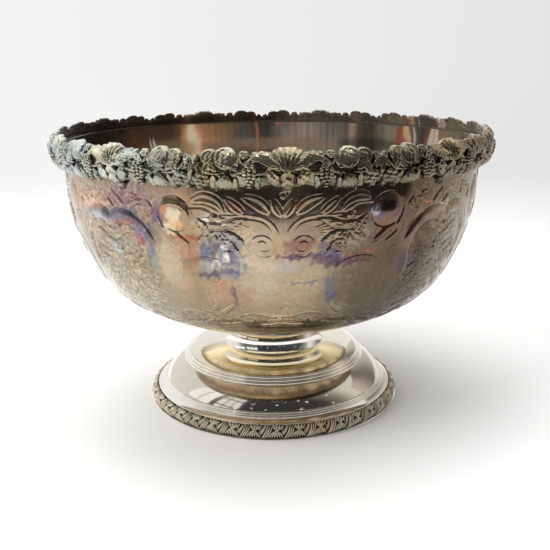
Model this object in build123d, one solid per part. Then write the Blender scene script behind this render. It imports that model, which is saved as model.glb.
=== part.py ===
"""Silver-plated punch bowl on a spreading foot, in millimetres.

+Z is up. The origin is the centre of the foot's resting face, so the bowl stands on
the plane Z = 0 and every round piece turns about the Z axis. Sections are drawn as
(radius, height) and revolved. All joints are soldered, so nothing moves.
"""
from build123d import *
import os
from math import cos, degrees, radians

os.makedirs("parts", exist_ok=True)

# ---------------------------------------------------------------- driving dimensions
# Bowl: a spun sheet whose side is three tangent arcs, closed by one arc across the bottom
BOWL_RADIUS = 167.6        # outside, where the side is upright
BOWL_WALL = 1.5
LIP_HEIGHT = 221.0         # top edge of the bowl's sheet
SIDE_TOP = 206.2           # the side is upright above this height
SIDE_ARCS = [(217, 9.6), (142, 19.7), (85, 34.0)]   # (radius, degrees turned inward)

# Lip band: a flat wire on the bowl's edge that closes the hollow backs of the castings
LIP_BAND_THICK = 1.4
LIP_BAND_WIDTH = 12.0      # trimmed to the castings' inner face

# Rim border: equal cast lengths, each centred on a shell
RIM_UNITS = 9
RIM_FIRST_ANGLE = -86.6    # centre of the first casting, measured from +X
RIM_RADIUS = 180.0         # widest part of the border
RIM_BOTTOM = 203.0
RIM_WIDEST = 218.8
RIM_TOP = 233.0
RIM_BOTTOM_RADIUS = 169.4
RIM_TOP_RADIUS = 172.6
RIM_WALL = 2.4
RIM_LAP = 4.8              # height of the face soldered to the bowl's side
RIM_BEVEL = 1.0            # the top edge slopes down this far towards the inside
RIM_SEAM = 0.1             # solder gap between two castings
TOP_DIPS = [(8.8, 5, 4), (17.4, 3, 3), (20.0, 6, 9)]   # (degrees from centre, radius, depth)
SHELL_RIBS = 8
SHELL_SPREAD = 3.2         # degrees of rim between the shell's first and last rib, at the hinge
SHELL_FAN = 70             # degrees that the ribs fan out
SHELL_HINGE = 8.0          # the hinge sits this far below the widest part
SHELL_GROOVE = (6, 22)     # a groove starts and ends this far above the hinge
LEAF_ANGLE = 14.0          # round leaf lobe, either side of the shell
LEAF_STALK = 3.0           # the veins meet this far below the widest part
LEAF_VEINS = (-35, 0, 35)  # degrees that each vein leans
VEIN = (2.5, 11.5)         # a vein starts and ends this far above the stalk
GROOVE_RADIUS = 0.6
GRAPE_ANGLE = 10.0
GRAPE_RADIUS = 2.4
GRAPE_HEIGHT = 208.5
GRAPES = [(-1.4, 0), (0.2, 0), (-0.6, 3.6)]   # (degrees along the rim, drop)
NOTCH_REACH = 40.0         # length of the cylinders that cut the top edge, past the wall

# Foot: spun sheets joined through two reeded wires, with a cast leaf border
FOOT_WALL = 1.4
COLLAR_WAIST = (40.6, 57.2)
COLLAR_BASE = (43.5, 46.9)
COLLAR_TOP = (47.8, 69.5)  # above the bowl's underside, trimmed to it
COLLAR_TRIM = 60.0         # half size of the block that trims the collar's foot level
DOME_HOLE = 38.0
DOME_CROWN_ARC = (121, 10)   # (radius, degrees turned down)
DOME_EDGE_ARC = (15.6, 40)
STEP_TOP = (78.1, 33.1)
STEP_MIDDLE = (87.4, 26.6)
STEP_EDGE = (94.4, 17.7)
SKIRT_TOP = (97.2, 13.5)
SKIRT_MIDDLE = (99.9, 11.9)
SKIRT_RADIUS = 102.1
SKIRT_HEIGHT = 11.2
REEDS = 3
FOOT_RADIUS = 108.5
BASE_RING_THICK = 1.5
BORDER_WIDEST = 5.0        # height of the border's widest part
BORDER_UNDERCUT = 0.6
BORDER_LEAVES = 38         # leaves round the foot, in two half rings
LEAF_GROOVE = 1.3          # radius of the groove between two leaves
LEAF_GROOVE_LENGTH = 30.0
LEAF_GROOVE_OUT = 0.4      # the groove's middle stands this far outside the border
LEAF_LEAN = 22.0           # degrees that each leaf leans along the border
LEAF_RAKE = 20.0           # degrees that the groove follows the border's slope


# ---------------------------------------------------------------- helpers
def turned(section, arc=360.0):
    """Revolve a flat (radius, height) section about the Z axis."""
    return revolve(Plane.XZ * section, Axis.Z, revolution_arc=arc)


def sheet(line, wall):
    """Section of a spun sheet: its outer line, thickened inward."""
    return make_face(Wire(line).offset_2d(wall, side=Side.RIGHT, closed=True))


def about_axis(shape, angle):
    return Rot(0, 0, angle) * shape


def at_rim(shape, angle, radius, height):
    """Place a shape that points along +X on the rim, turned to the given angle."""
    return Rot(0, 0, angle) * Pos(radius, 0, height) * shape


# ---------------------------------------------------------------- bowl
def bowl_side():
    """Outer line of the bowl's section, from the lip to the axis."""
    edges = [Line((BOWL_RADIUS, LIP_HEIGHT), (BOWL_RADIUS, SIDE_TOP))]
    turned_in = 0.0
    for radius, angle in SIDE_ARCS:
        edges.append(JernArc(edges[-1] @ 1, edges[-1] % 1, radius, -angle))
        turned_in += angle
    bottom_radius = (edges[-1] @ 1).X / cos(radians(turned_in))
    edges.append(JernArc(edges[-1] @ 1, edges[-1] % 1, bottom_radius, turned_in - 90))
    return edges


def bowl_form():
    """The bowl's outer shape as a full solid, for fitting the collar to it."""
    edges = bowl_side()
    edges.append(Line(edges[-1] @ 1, (0, LIP_HEIGHT)))
    edges.append(Line((0, LIP_HEIGHT), (BOWL_RADIUS, LIP_HEIGHT)))
    return turned(make_face(Wire(edges)))


def lip_band():
    """Flat band soldered on the lip, that reaches out to the castings' inner face."""
    middle = BOWL_RADIUS - BOWL_WALL + LIP_BAND_WIDTH / 2
    band = Rectangle(LIP_BAND_WIDTH, LIP_BAND_THICK)
    return Pos(middle, LIP_HEIGHT + LIP_BAND_THICK / 2) * band - rim_section()


# ---------------------------------------------------------------- rim castings
def rim_section():
    """Hollow-backed, outward-bulging section that laps the wall and rises past the lip."""
    seat = BOWL_RADIUS
    outer = ThreePointArc(
        (RIM_BOTTOM_RADIUS, RIM_BOTTOM), (RIM_RADIUS, RIM_WIDEST), (RIM_TOP_RADIUS, RIM_TOP)
    )
    inner_top = (RIM_TOP_RADIUS - RIM_WALL, RIM_TOP - RIM_BEVEL)
    inner_low = (RIM_BOTTOM_RADIUS, RIM_BOTTOM + RIM_LAP)
    inner = ThreePointArc(inner_top, (RIM_RADIUS - RIM_WALL, RIM_WIDEST), inner_low)
    rest = Polyline(inner_low, (seat, inner_low[1]), (seat, RIM_BOTTOM), outer @ 0)
    return make_face(Wire([outer, Line(outer @ 1, inner_top), inner, *rest.edges()]))


def groove(lean, start, end):
    """Round cutter that leans from upright, between two distances from its root."""
    middle = (start + end) / 2
    return Rot(lean, 0, 0) * Pos(0, 0, middle) * Cylinder(GROOVE_RADIUS, end - start)


def rim_casting():
    """One cast length of the border: a ribbed shell between two vine leaves with grapes."""
    pitch = 360 / RIM_UNITS
    span = pitch - degrees(RIM_SEAM / RIM_RADIUS)
    band = about_axis(turned(rim_section(), span), -span / 2)
    cuts = []
    grapes = []
    for side in (-1, 1):
        # The top edge dips between the leaves and the shell, and most at the two ends
        for angle, radius, depth in TOP_DIPS:
            notch = Rot(0, 90, 0) * Cylinder(radius, NOTCH_REACH)
            cuts.append(at_rim(notch, side * angle, RIM_RADIUS, RIM_TOP - depth + radius))

        # Veins of the vine leaf
        for lean in LEAF_VEINS:
            vein = groove(lean, *VEIN)
            cuts.append(at_rim(vein, side * LEAF_ANGLE, RIM_RADIUS, RIM_WIDEST - LEAF_STALK))

        # Three grapes hang under the leaf
        for step, drop in GRAPES:
            angle = side * (GRAPE_ANGLE + step)
            radius = RIM_BOTTOM_RADIUS + GRAPE_RADIUS
            grapes.append(at_rim(Sphere(GRAPE_RADIUS), angle, radius, GRAPE_HEIGHT - drop))

    # The shell's ribs are parted by grooves that fan out from its hinge
    for rib in range(1, SHELL_RIBS):
        place = rib / SHELL_RIBS - 0.5
        parting = groove(-place * SHELL_FAN, *SHELL_GROOVE)
        cuts.append(at_rim(parting, place * SHELL_SPREAD, RIM_RADIUS, RIM_WIDEST - SHELL_HINGE))
    return band - cuts + grapes


# ---------------------------------------------------------------- foot
def foot_collar():
    """Concave throat between the bowl and the foot, its top trimmed to the bowl."""
    outer = ThreePointArc(COLLAR_TOP, COLLAR_WAIST, COLLAR_BASE)
    size = 2 * COLLAR_TRIM
    level = Pos(0, 0, COLLAR_BASE[1] - COLLAR_TRIM) * Box(size, size, size)
    return turned(sheet([outer], FOOT_WALL)) - bowl_form() - level


def upper_dome():
    """Outer line of the foot's crown: a flat seat for the collar, then a rounded-over edge."""
    seat = Line((DOME_HOLE, COLLAR_BASE[1]), COLLAR_BASE)
    crown = JernArc(seat @ 1, seat % 1, DOME_CROWN_ARC[0], -DOME_CROWN_ARC[1])
    edge = JernArc(crown @ 1, crown % 1, DOME_EDGE_ARC[0], -DOME_EDGE_ARC[1])
    return [seat, crown, edge]


def reeded_wire(top, bottom):
    """Ring that joins two sheets, its outer face a row of half-round reeds."""
    top, bottom = Vector(*top), Vector(*bottom)
    along = (bottom - top).normalized()
    inward = Vector(along.Y, -along.X) * FOOT_WALL
    section = make_face(Polyline(top, bottom, bottom + inward, top + inward, close=True))
    reed = (bottom - top).length / REEDS / 2
    for count in range(REEDS):
        centre = top + along * reed * (2 * count + 1)
        section += Pos(centre.X, centre.Y) * Circle(reed)
    return section


def foot_skirt():
    """Outer line of the shallow cove below the lower reeds, turned down to the base ring."""
    cove = ThreePointArc(SKIRT_TOP, SKIRT_MIDDLE, (SKIRT_RADIUS, SKIRT_HEIGHT))
    return [cove, Line(cove @ 1, (SKIRT_RADIUS, BASE_RING_THICK))]


def base_ring():
    """Flat ring that the foot stands on."""
    inner = SKIRT_RADIUS - FOOT_WALL
    ring = Cylinder(FOOT_RADIUS, BASE_RING_THICK) - Cylinder(inner, BASE_RING_THICK)
    ring = Pos(0, 0, BASE_RING_THICK / 2) * ring
    outer_edges = ring.edges().filter_by(GeomType.CIRCLE).group_by(SortBy.RADIUS)[-1]
    return fillet(outer_edges, BASE_RING_THICK / 3)


def border_half(first_angle):
    """Half of the cast leaf border, as a rounded moulding cut into leaning leaves."""
    top = (SKIRT_RADIUS, SKIRT_HEIGHT)
    bottom = (FOOT_RADIUS - BORDER_UNDERCUT, BASE_RING_THICK)
    outer = ThreePointArc(top, (FOOT_RADIUS, BORDER_WIDEST), bottom)
    rest = Polyline(bottom, (SKIRT_RADIUS, BASE_RING_THICK), top)
    section = make_face(Wire([outer, *rest.edges()]))
    half = about_axis(turned(section, 180), first_angle)
    parting = Rot(LEAF_LEAN, 0, 0) * Rot(0, -LEAF_RAKE, 0) * Cylinder(LEAF_GROOVE, LEAF_GROOVE_LENGTH)
    pitch = 360 / BORDER_LEAVES
    for leaf in range(BORDER_LEAVES // 2):
        angle = first_angle + (leaf + 0.5) * pitch
        half -= at_rim(parting, angle, FOOT_RADIUS + LEAF_GROOVE_OUT, SKIRT_HEIGHT / 2)
    return half


# ---------------------------------------------------------------- build
dome_line = upper_dome()
dome_edge = dome_line[-1] @ 1
upper_sheet = sheet(dome_line, FOOT_WALL)
lower_sheet = sheet([ThreePointArc(STEP_TOP, STEP_MIDDLE, STEP_EDGE)], FOOT_WALL)
skirt_sheet = sheet(foot_skirt(), FOOT_WALL)
upper_reeds = reeded_wire((dome_edge.X, dome_edge.Y), STEP_TOP)
lower_reeds = reeded_wire(STEP_EDGE, SKIRT_TOP)
pieces = {
    "bowl_shell": turned(sheet(bowl_side(), BOWL_WALL)),
    "lip_band": turned(lip_band()),
    "foot_collar": foot_collar(),
    "foot_upper_dome": turned(upper_sheet),
    "upper_reeded_wire": turned(upper_reeds - [upper_sheet, lower_sheet]),
    "foot_lower_dome": turned(lower_sheet),
    "lower_reeded_wire": turned(lower_reeds - [lower_sheet, skirt_sheet]),
    "foot_skirt": turned(skirt_sheet),
    "foot_border_front": border_half(180),
    "foot_border_rear": border_half(0),
    "foot_base_ring": base_ring(),
}
casting = rim_casting()
for unit in range(RIM_UNITS):
    angle = RIM_FIRST_ANGLE + unit * 360 / RIM_UNITS
    pieces[f"rim_casting_{unit + 1}"] = about_axis(casting, angle)

for name, shape in pieces.items():
    export_step(shape, f"parts/{name}.step")
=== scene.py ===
"""Looks of the silver-plated punch bowl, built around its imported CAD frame.

Sizes are in millimetres until a mesh is made, and repeat the CAD's own driving
dimensions. Angles are degrees round the bowl's axis from +X, and -90 faces the camera.
"""
import math
import bpy
import numpy as np
from mathutils import Matrix, Vector


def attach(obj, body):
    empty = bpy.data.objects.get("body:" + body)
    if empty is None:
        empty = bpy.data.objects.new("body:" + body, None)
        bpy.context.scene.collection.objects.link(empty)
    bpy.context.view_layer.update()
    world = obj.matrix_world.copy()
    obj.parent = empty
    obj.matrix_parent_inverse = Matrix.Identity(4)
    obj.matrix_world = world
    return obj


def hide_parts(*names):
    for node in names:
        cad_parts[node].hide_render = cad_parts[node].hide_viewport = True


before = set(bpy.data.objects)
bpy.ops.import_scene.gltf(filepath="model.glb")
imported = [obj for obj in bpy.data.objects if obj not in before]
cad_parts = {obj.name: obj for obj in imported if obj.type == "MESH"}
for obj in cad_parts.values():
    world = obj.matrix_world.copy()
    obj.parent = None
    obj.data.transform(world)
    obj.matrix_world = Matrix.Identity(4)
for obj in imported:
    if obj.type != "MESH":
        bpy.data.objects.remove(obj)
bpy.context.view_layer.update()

# ---------------------------------------------------------------- sizes (mm)
BOWL_RADIUS = 167.6
BOWL_WALL = 1.5
LIP_HEIGHT = 221.0
SIDE_TOP = 206.2
SIDE_ARCS = [(217, 9.6), (142, 19.7), (85, 34.0)]     # (radius, degrees turned inward)
RIM_RADIUS = 180.0
RIM_TOP = 233.0
RIM_UNITS = 9
RIM_FIRST_ANGLE = -86.6
LIP_BAND_THICK = 1.4
LIP_BAND_OUTER = 174.6
FOOT_WALL = 1.4
COLLAR_WAIST = (40.6, 57.2)
COLLAR_BASE = (43.5, 46.9)
COLLAR_TOP_RADIUS = 46.2
DOME_HOLE = 38.0
DOME_ARCS = [(121, 10), (15.6, 40)]
STEP_TOP = (78.1, 33.1)
STEP_MIDDLE = (87.4, 26.6)
STEP_EDGE = (94.4, 17.7)
SKIRT_TOP = (97.2, 13.5)
SKIRT_MIDDLE = (99.9, 11.9)
SKIRT_RADIUS = 102.1
SKIRT_HEIGHT = 11.2
REEDS = 3
FOOT_RADIUS = 108.5
BASE_RING_THICK = 1.5
BORDER_LEAVES = 38

FRONT = -90                 # angle that faces the camera
FRONT_SPREAD = 42           # degrees over which a front tone fades out

# Fineness of the meshes
ROUND_STEPS = 720      # columns round a lathe-turned piece
BOWL_COLUMNS = 1800   # columns round the chased bowl
BOWL_ROW = 0.55        # mm between its rows over the chasing
LINE_STEP = 0.25                              # mm between points of the bowl's fine section
PANEL_STEP = 0.4                              # mm between points of the relief's height map
RELIEF_CURVE = 14                             # points on a curve between two given ones, relief
CAST_CURVE = 24                               # the same, castings


# ---------------------------------------------------------------- mesh tools
class Bag:
    """Gathers points and faces of one piece, then makes its mesh."""

    def __init__(self):
        self.points = []
        self.quads = []
        self.count = 0

    def add(self, points, quads):
        self.points.append(np.asarray(points, float).reshape(-1, 3))
        self.quads.append(np.asarray(quads, int).reshape(-1, 4) + self.count)
        self.count += len(self.points[-1])

    def grid(self, points, close_rows=False, close_columns=False):
        """A grid of points, rows by columns, with its quads; either way may close on itself."""
        rows, columns = points.shape[:2]
        index = np.arange(rows * columns).reshape(rows, columns)
        if close_rows:
            index = np.vstack([index, index[:1]])
        if close_columns:
            index = np.hstack([index, index[:, :1]])
        self.add(points, grid_quads(index))

    def make(self, name, slot, replaces, attributes):
        """The finished piece, in metres, riding on the bowl's only body."""
        points = np.concatenate(self.points) / 1000
        quads = np.concatenate(self.quads)
        mesh = bpy.data.meshes.new(name)
        mesh.vertices.add(len(points))
        mesh.vertices.foreach_set("co", points.ravel())
        mesh.loops.add(quads.size)
        mesh.loops.foreach_set("vertex_index", quads.ravel())
        mesh.polygons.add(len(quads))
        mesh.polygons.foreach_set("loop_start", np.arange(0, quads.size, 4))
        mesh.polygons.foreach_set("use_smooth", np.ones(len(quads), bool))
        for key, values in attributes.items():
            values = np.asarray(values, np.float32)
            if values.ndim == 1:
                mesh.attributes.new(key, "FLOAT", "POINT").data.foreach_set("value", values)
            else:
                values = np.hstack([values, np.ones((len(values), 1), np.float32)])
                layer = mesh.attributes.new(key, "FLOAT_COLOR", "POINT")
                layer.data.foreach_set("color", values.ravel())
        mesh.update(calc_edges=True)
        mesh.validate()
        mesh.materials.append(MATERIALS[slot])
        piece = placed(name, mesh)
        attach(piece, "root")
        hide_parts(*replaces)


def placed(name, data):
    """A new object in the scene."""
    made = bpy.data.objects.new(name, data)
    bpy.context.collection.objects.link(made)
    return made


def grid_quads(index):
    """Quads between the neighbours in a table of point numbers."""
    return np.stack([index[:-1, :-1], index[:-1, 1:], index[1:, 1:], index[1:, :-1]], -1).reshape(-1, 4)


def polar(radius, turn, height):
    """Points from a radius, an angle in radians and a height."""
    return np.stack([radius * np.cos(turn), radius * np.sin(turn), height + 0 * turn], -1)


def degrees_round(points):
    return np.degrees(np.arctan2(points[:, 1], points[:, 0]))


def spun(points, turn):
    """The same points, turned about the bowl's axis by an angle in radians."""
    c, s = math.cos(turn), math.sin(turn)
    return points @ np.array([[c, s, 0], [-s, c, 0], [0, 0, 1]])


def run_length(line):
    """Distance along a line at each of its points."""
    return np.concatenate([[0], np.cumsum(np.hypot(*np.diff(line, axis=0).T))])


def tangents(line):
    along = np.gradient(line, axis=0)
    return along / np.linalg.norm(along, axis=1, keepdims=True)


def around(line):
    """Sweep a (radius, height) line round the axis: points by rows along the line."""
    turn = np.linspace(0, 2 * np.pi, ROUND_STEPS, endpoint=False)
    line = np.asarray(line, float)
    return polar(line[:, :1], turn, line[:, 1:])


def turned(name, outline, slot, replaces, tone=(1.0, 1.0, 1.0), front_tone=None):
    """A lathe-turned ring from a closed (radius, height) outline; its tones tint the metal."""
    bag = Bag()
    bag.grid(around(outline), close_rows=True, close_columns=True)
    away = degrees_round(bag.points[0]) - FRONT
    front = np.exp(-(away / FRONT_SPREAD) ** 2)[:, None]
    tints = np.array(tone) * (1 - front) + np.array(front_tone or tone) * front
    bag.make(name, slot, replaces, {"tone": tints})


def arc_points(start, middle, end, steps):
    """Points on the circle through three points, from start to end."""
    (ax, ay), (bx, by), (cx, cy) = start, middle, end
    d = 2 * (ax * (by - cy) + bx * (cy - ay) + cx * (ay - by))
    a2, b2, c2 = ax * ax + ay * ay, bx * bx + by * by, cx * cx + cy * cy
    ox = (a2 * (by - cy) + b2 * (cy - ay) + c2 * (ay - by)) / d
    oy = (a2 * (cx - bx) + b2 * (ax - cx) + c2 * (bx - ax)) / d
    t0, t1, t2 = (math.atan2(y - oy, x - ox) for x, y in (start, middle, end))
    full = 2 * math.pi
    turn = (t2 - t0) % full
    if (t1 - t0) % full > turn:
        turn -= full
    t = t0 + np.linspace(0, turn, steps)
    radius = math.hypot(ax - ox, ay - oy)
    return np.stack([ox + radius * np.cos(t), oy + radius * np.sin(t)], 1)


def thickened(line, wall):
    """Closed outline of a sheet whose outer face is the line."""
    line = np.asarray(line, float)
    along = tangents(line)
    inward = np.stack([along[:, 1], -along[:, 0]], 1)
    return np.vstack([line, (line + inward * wall)[::-1]])


def tangent_arcs(start, arcs, step, heading=0.0):
    """(radius, height) points along tangent arcs; heading 0 is down, -90 degrees is outward."""
    (r, z), points = start, [start]
    for radius, degrees in arcs:
        turn = math.radians(degrees)
        centre = (r - radius * math.cos(heading), z + radius * math.sin(heading))
        t = np.linspace(0, turn, max(3, math.ceil(radius * turn / step) + 1))[1:]
        new = np.stack([centre[0] + radius * np.cos(heading + t),
                        centre[1] - radius * np.sin(heading + t)], 1)
        points += [tuple(p) for p in new]
        r, z = points[-1]
        heading += turn
    return points, heading


def bowl_line(offset=0.0, step=1.0):
    """Line of the bowl's side from the lip to the axis, moved inward by the offset."""
    arcs = [(radius - offset, turn) for radius, turn in SIDE_ARCS]
    top = (BOWL_RADIUS - offset, LIP_HEIGHT)
    straight = math.ceil((LIP_HEIGHT - SIDE_TOP) / step)
    upright = [(top[0], z) for z in np.linspace(LIP_HEIGHT, SIDE_TOP, straight, endpoint=False)]
    side, heading = tangent_arcs((top[0], SIDE_TOP), arcs, step)
    bottom_radius = side[-1][0] / math.cos(heading)
    last_turn = 90 - math.degrees(heading)
    bottom, _ = tangent_arcs(side[-1], [(bottom_radius, last_turn)], step, heading)
    return np.array(upright + side + bottom[1:])


# ---------------------------------------------------------------- foot
def foot_pieces():
    """The spun sheets, reeded wires and base ring of the foot, as fine lathe work."""
    collar_top = next(p for p in bowl_line()[::-1] if p[0] > COLLAR_TOP_RADIUS)
    collar = arc_points(tuple(collar_top), COLLAR_WAIST, COLLAR_BASE, 60)
    turned("foot_collar_spun", thickened(collar, FOOT_WALL), "foot_plate", ["foot_collar"])

    crown, _ = tangent_arcs(COLLAR_BASE, DOME_ARCS, 0.6, heading=-math.pi / 2)
    dome = [(DOME_HOLE, COLLAR_BASE[1]), (41.0, COLLAR_BASE[1]), *crown]
    # The gold tint on its front, toward the eye, is a painted reflection of the bowl's underside
    turned("foot_upper_dome_spun", thickened(dome, FOOT_WALL), "foot_plate", ["foot_upper_dome"],
           (0.97, 0.94, 0.87), (0.90, 0.83, 0.64))

    step = arc_points(STEP_TOP, STEP_MIDDLE, STEP_EDGE, 50)
    turned("foot_lower_dome_spun", thickened(step, FOOT_WALL), "foot_plate", ["foot_lower_dome"],
           (0.84, 0.79, 0.74), (0.80, 0.75, 0.70))

    foot_of_cove = (SKIRT_RADIUS, SKIRT_HEIGHT)
    cove = arc_points(SKIRT_TOP, SKIRT_MIDDLE, foot_of_cove, 24)
    corner = arc_points(foot_of_cove, (SKIRT_RADIUS + 0.1, 10.8), (SKIRT_RADIUS, 10.4), 6)
    drop = [(SKIRT_RADIUS, z) for z in np.linspace(10, BASE_RING_THICK, 8)]
    skirt = np.vstack([cove, corner[1:-1], drop])
    turned("foot_skirt_spun", thickened(skirt, FOOT_WALL), "foot_plate", ["foot_skirt"])

    for name, top, bottom in (("upper_reeded_wire", crown[-1], STEP_TOP),
                              ("lower_reeded_wire", STEP_EDGE, SKIRT_TOP)):
        turned(name + "_drawn", reeds(top, bottom, REEDS), "foot_wires", [name])

    inner, outer, thick = SKIRT_RADIUS - FOOT_WALL, FOOT_RADIUS, BASE_RING_THICK
    ring = [(inner, 0), (inner, thick), (outer - 0.5, thick), (outer - 0.15, thick - 0.15),
            (outer, thick - 0.5), (outer, 0.3), (outer - 0.3, 0)]
    turned("foot_base_ring_flat", subdivided(ring, 3), "foot_wires", ["foot_base_ring"])


def reeds(top, bottom, count):
    """Closed outline of a wire whose outer face is a row of half-round reeds."""
    top, bottom = np.array(top), np.array(bottom)
    span = bottom - top
    length = np.linalg.norm(span)
    along = span / length
    outward = np.array([-along[1], along[0]])
    t = np.linspace(0, 1, count * 12 + 1)
    rise = np.abs(np.sin(np.pi * t * count)) ** 0.6 * length / count / 2
    face = top + t[:, None] * span + rise[:, None] * outward
    return np.vstack([face, bottom - outward * FOOT_WALL, top - outward * FOOT_WALL])


def subdivided(outline, parts):
    """The same closed outline with each side cut into equal parts."""
    outline = np.asarray(outline, float)
    after = np.roll(outline, -1, axis=0)
    t = np.arange(parts) / parts
    return (outline[:, None] + (after - outline)[:, None] * t[None, :, None]).reshape(-1, 2)


# ---------------------------------------------------------------- materials
class Nodes:
    """Short-hand for building one material's node tree."""

    def __init__(self, name):
        self.material = bpy.data.materials.new(name)
        self.material.use_nodes = True
        self.tree = self.material.node_tree
        self.shader = self.tree.nodes["Principled BSDF"]

    def node(self, kind, **settings):
        made = self.tree.nodes.new("ShaderNode" + kind)
        for key, value in settings.items():
            if hasattr(made, key):
                setattr(made, key, value)
            else:
                made.inputs[key.replace("_", " ")].default_value = value
        return made

    def link(self, source, target):
        self.tree.links.new(source, target)

    def math(self, operation, a, b):
        """a and b are sockets or numbers."""
        made = self.node("Math", operation=operation)
        for value, socket in ((a, made.inputs[0]), (b, made.inputs[1])):
            if isinstance(value, (int, float)):
                socket.default_value = value
            else:
                self.link(value, socket)
        return made.outputs[0]

    def mix(self, factor, a, b, blend="MIX"):
        """a and b are colour sockets or colours; factor is a socket or a number."""
        made = self.node("Mix", data_type="RGBA", blend_type=blend)
        for value, socket in ((factor, made.inputs[0]), (a, made.inputs[6]), (b, made.inputs[7])):
            if isinstance(value, bpy.types.NodeSocket):
                self.link(value, socket)
            else:
                socket.default_value = value
        return made.outputs[2]

    def ramp(self, factor, stops):
        made = self.node("ValToRGB")
        stack = made.color_ramp.elements
        while len(stack) > 1:
            stack.remove(stack[-1])
        stack[0].position, stack[0].color = stops[0][0], (*stops[0][1], 1)
        for place, colour in stops[1:]:
            stack.new(place).color = (*colour, 1)
        self.link(factor, made.inputs[0])
        return made.outputs[0]

    def noise(self, scale, detail, roughness=0.5, stretch=None):
        made = self.node("TexNoise", Scale=scale, Detail=detail, Roughness=roughness)
        place = self.node("TexCoord").outputs["Object"]
        if stretch:
            mapping = self.node("Mapping")
            mapping.inputs["Scale"].default_value = stretch
            self.link(place, mapping.inputs[0])
            place = mapping.outputs[0]
        self.link(place, made.inputs["Vector"])
        return made.outputs[0]

    def attribute(self, name, output="Fac"):
        return self.node("Attribute", attribute_name=name).outputs[output]

    def spread(self, value, low, high, out_low=0.0, out_high=1.0):
        """Map a value from one range to another, held at the ends."""
        made = self.node("MapRange")
        for socket, number in zip(made.inputs[1:5], (low, high, out_low, out_high)):
            socket.default_value = number
        self.link(value, made.inputs[0])
        return made.outputs[0]

    def patches(self, colour, tint, amount, noise, low, high):
        """Multiply a colour by a tint where the noise, a socket, lies above low."""
        factor = self.spread(noise, low, high, 0.0, amount)
        return self.mix(factor, colour, (*tint, 1), "MULTIPLY")

    def bump(self, height, strength, distance):
        made = self.node("Bump", Strength=strength, Distance=distance)
        self.link(height, made.inputs["Height"])
        self.link(made.outputs[0], self.shader.inputs["Normal"])


def tarnished_silver(name):
    """Silver plate under a patchy film, from the piece's own tone and recess values."""
    n = Nodes(name)
    colour = n.attribute("tone", "Color")
    colour = n.patches(colour, (0.84, 0.82, 0.80), 1.0, n.noise(45, 5, 0.65), 0.3, 0.7)
    colour = n.patches(colour, (0.90, 0.82, 0.76), 0.5, n.noise(70, 4, 0.6, (1.0, 1.0, 1.6)), 0.46, 0.62)
    colour = n.patches(colour, (0.62, 0.56, 0.50), 0.5, n.noise(420, 3, 0.6), 0.56, 0.70)
    # Painted shade: the base colour darkens where the recess value is high, in the hollows of the chased
    # relief, and the roughness rises there too
    recess_shade = n.spread(n.attribute("recess"), 0.05, 0.9, 0.0, 0.42)
    n.link(n.mix(recess_shade, colour, (0.10, 0.085, 0.070, 1)), n.shader.inputs["Base Color"])
    rough = n.spread(n.noise(90, 4), 0.3, 0.7, 0.09, 0.20)
    n.link(n.math("ADD", rough, n.math("MULTIPLY", recess_shade, 0.3)), n.shader.inputs["Roughness"])
    n.link(n.math("SUBTRACT", 1.0, n.attribute("dull")), n.shader.inputs["Metallic"])
    n.bump(n.noise(900, 2), 0.12, 0.0001)
    return n.material


def polished_silver(name):
    """Bright plate of the foot: fine spinning lines, a little straw-coloured tarnish."""
    n = Nodes(name)
    film = n.spread(n.noise(16, 4, 0.6), 0.35, 0.75)
    colour = n.mix(film, (0.93, 0.915, 0.88, 1), (0.82, 0.76, 0.66, 1))
    colour = n.mix(1.0, colour, n.attribute("tone", "Color"), "MULTIPLY")
    n.link(colour, n.shader.inputs["Base Color"])
    n.link(n.spread(n.noise(60, 4), 0.3, 0.7, 0.05, 0.12), n.shader.inputs["Roughness"])
    n.shader.inputs["Metallic"].default_value = 1.0
    n.bump(n.noise(700, 2, stretch=(1, 1, 6)), 0.08, 0.00005)
    return n.material


def cast_silver(name, depth, shine, dull):
    """Cast silver: its tone on the high spots, with painted shade from ambient occlusion in the hollows (not
    where recess is 1).
    """
    n = Nodes(name)
    # Painted shade: ambient occlusion picks out the hollows, and they take the darkened colour below
    hollow = n.node("AmbientOcclusion", samples=8, Distance=depth, only_local=False)
    open_sky = n.spread(hollow.outputs["AO"], 0.10, 0.65)
    open_sky = n.math("MAXIMUM", open_sky, n.attribute("recess"))
    high = n.patches(n.attribute("tone", "Color"), (0.72, 0.70, 0.62), 0.7, n.noise(40, 4, 0.6), 0.35, 0.65)
    high = n.patches(high, (0.95, 0.76, 0.50), 0.6, n.noise(55, 3), 0.56, 0.68)
    # Colour of the painted shade: the tone darkened to about a third
    low = n.mix(1.0, high, (0.34, 0.30, 0.25, 1), "MULTIPLY")
    n.link(n.mix(open_sky, low, high), n.shader.inputs["Base Color"])
    n.link(n.spread(n.noise(200, 4), 0.3, 0.7, *shine), n.shader.inputs["Roughness"])
    shining = n.math("SUBTRACT", 1.0 - dull, n.math("MULTIPLY", n.attribute("recess"), 0.6 - dull))
    n.link(shining, n.shader.inputs["Metallic"])
    n.bump(n.noise(260, 2), 0.20, 0.0004)
    return n.material


# ---------------------------------------------------------------- chased relief
PANEL_CENTRE = -87.5       # angle of the blank cartouche that faces the camera
HALF_PANEL = 45.0          # the pattern mirrors at every 45 degrees
CHASED_TOP = SIDE_TOP
CHASED_BOTTOM = 88.0


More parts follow.
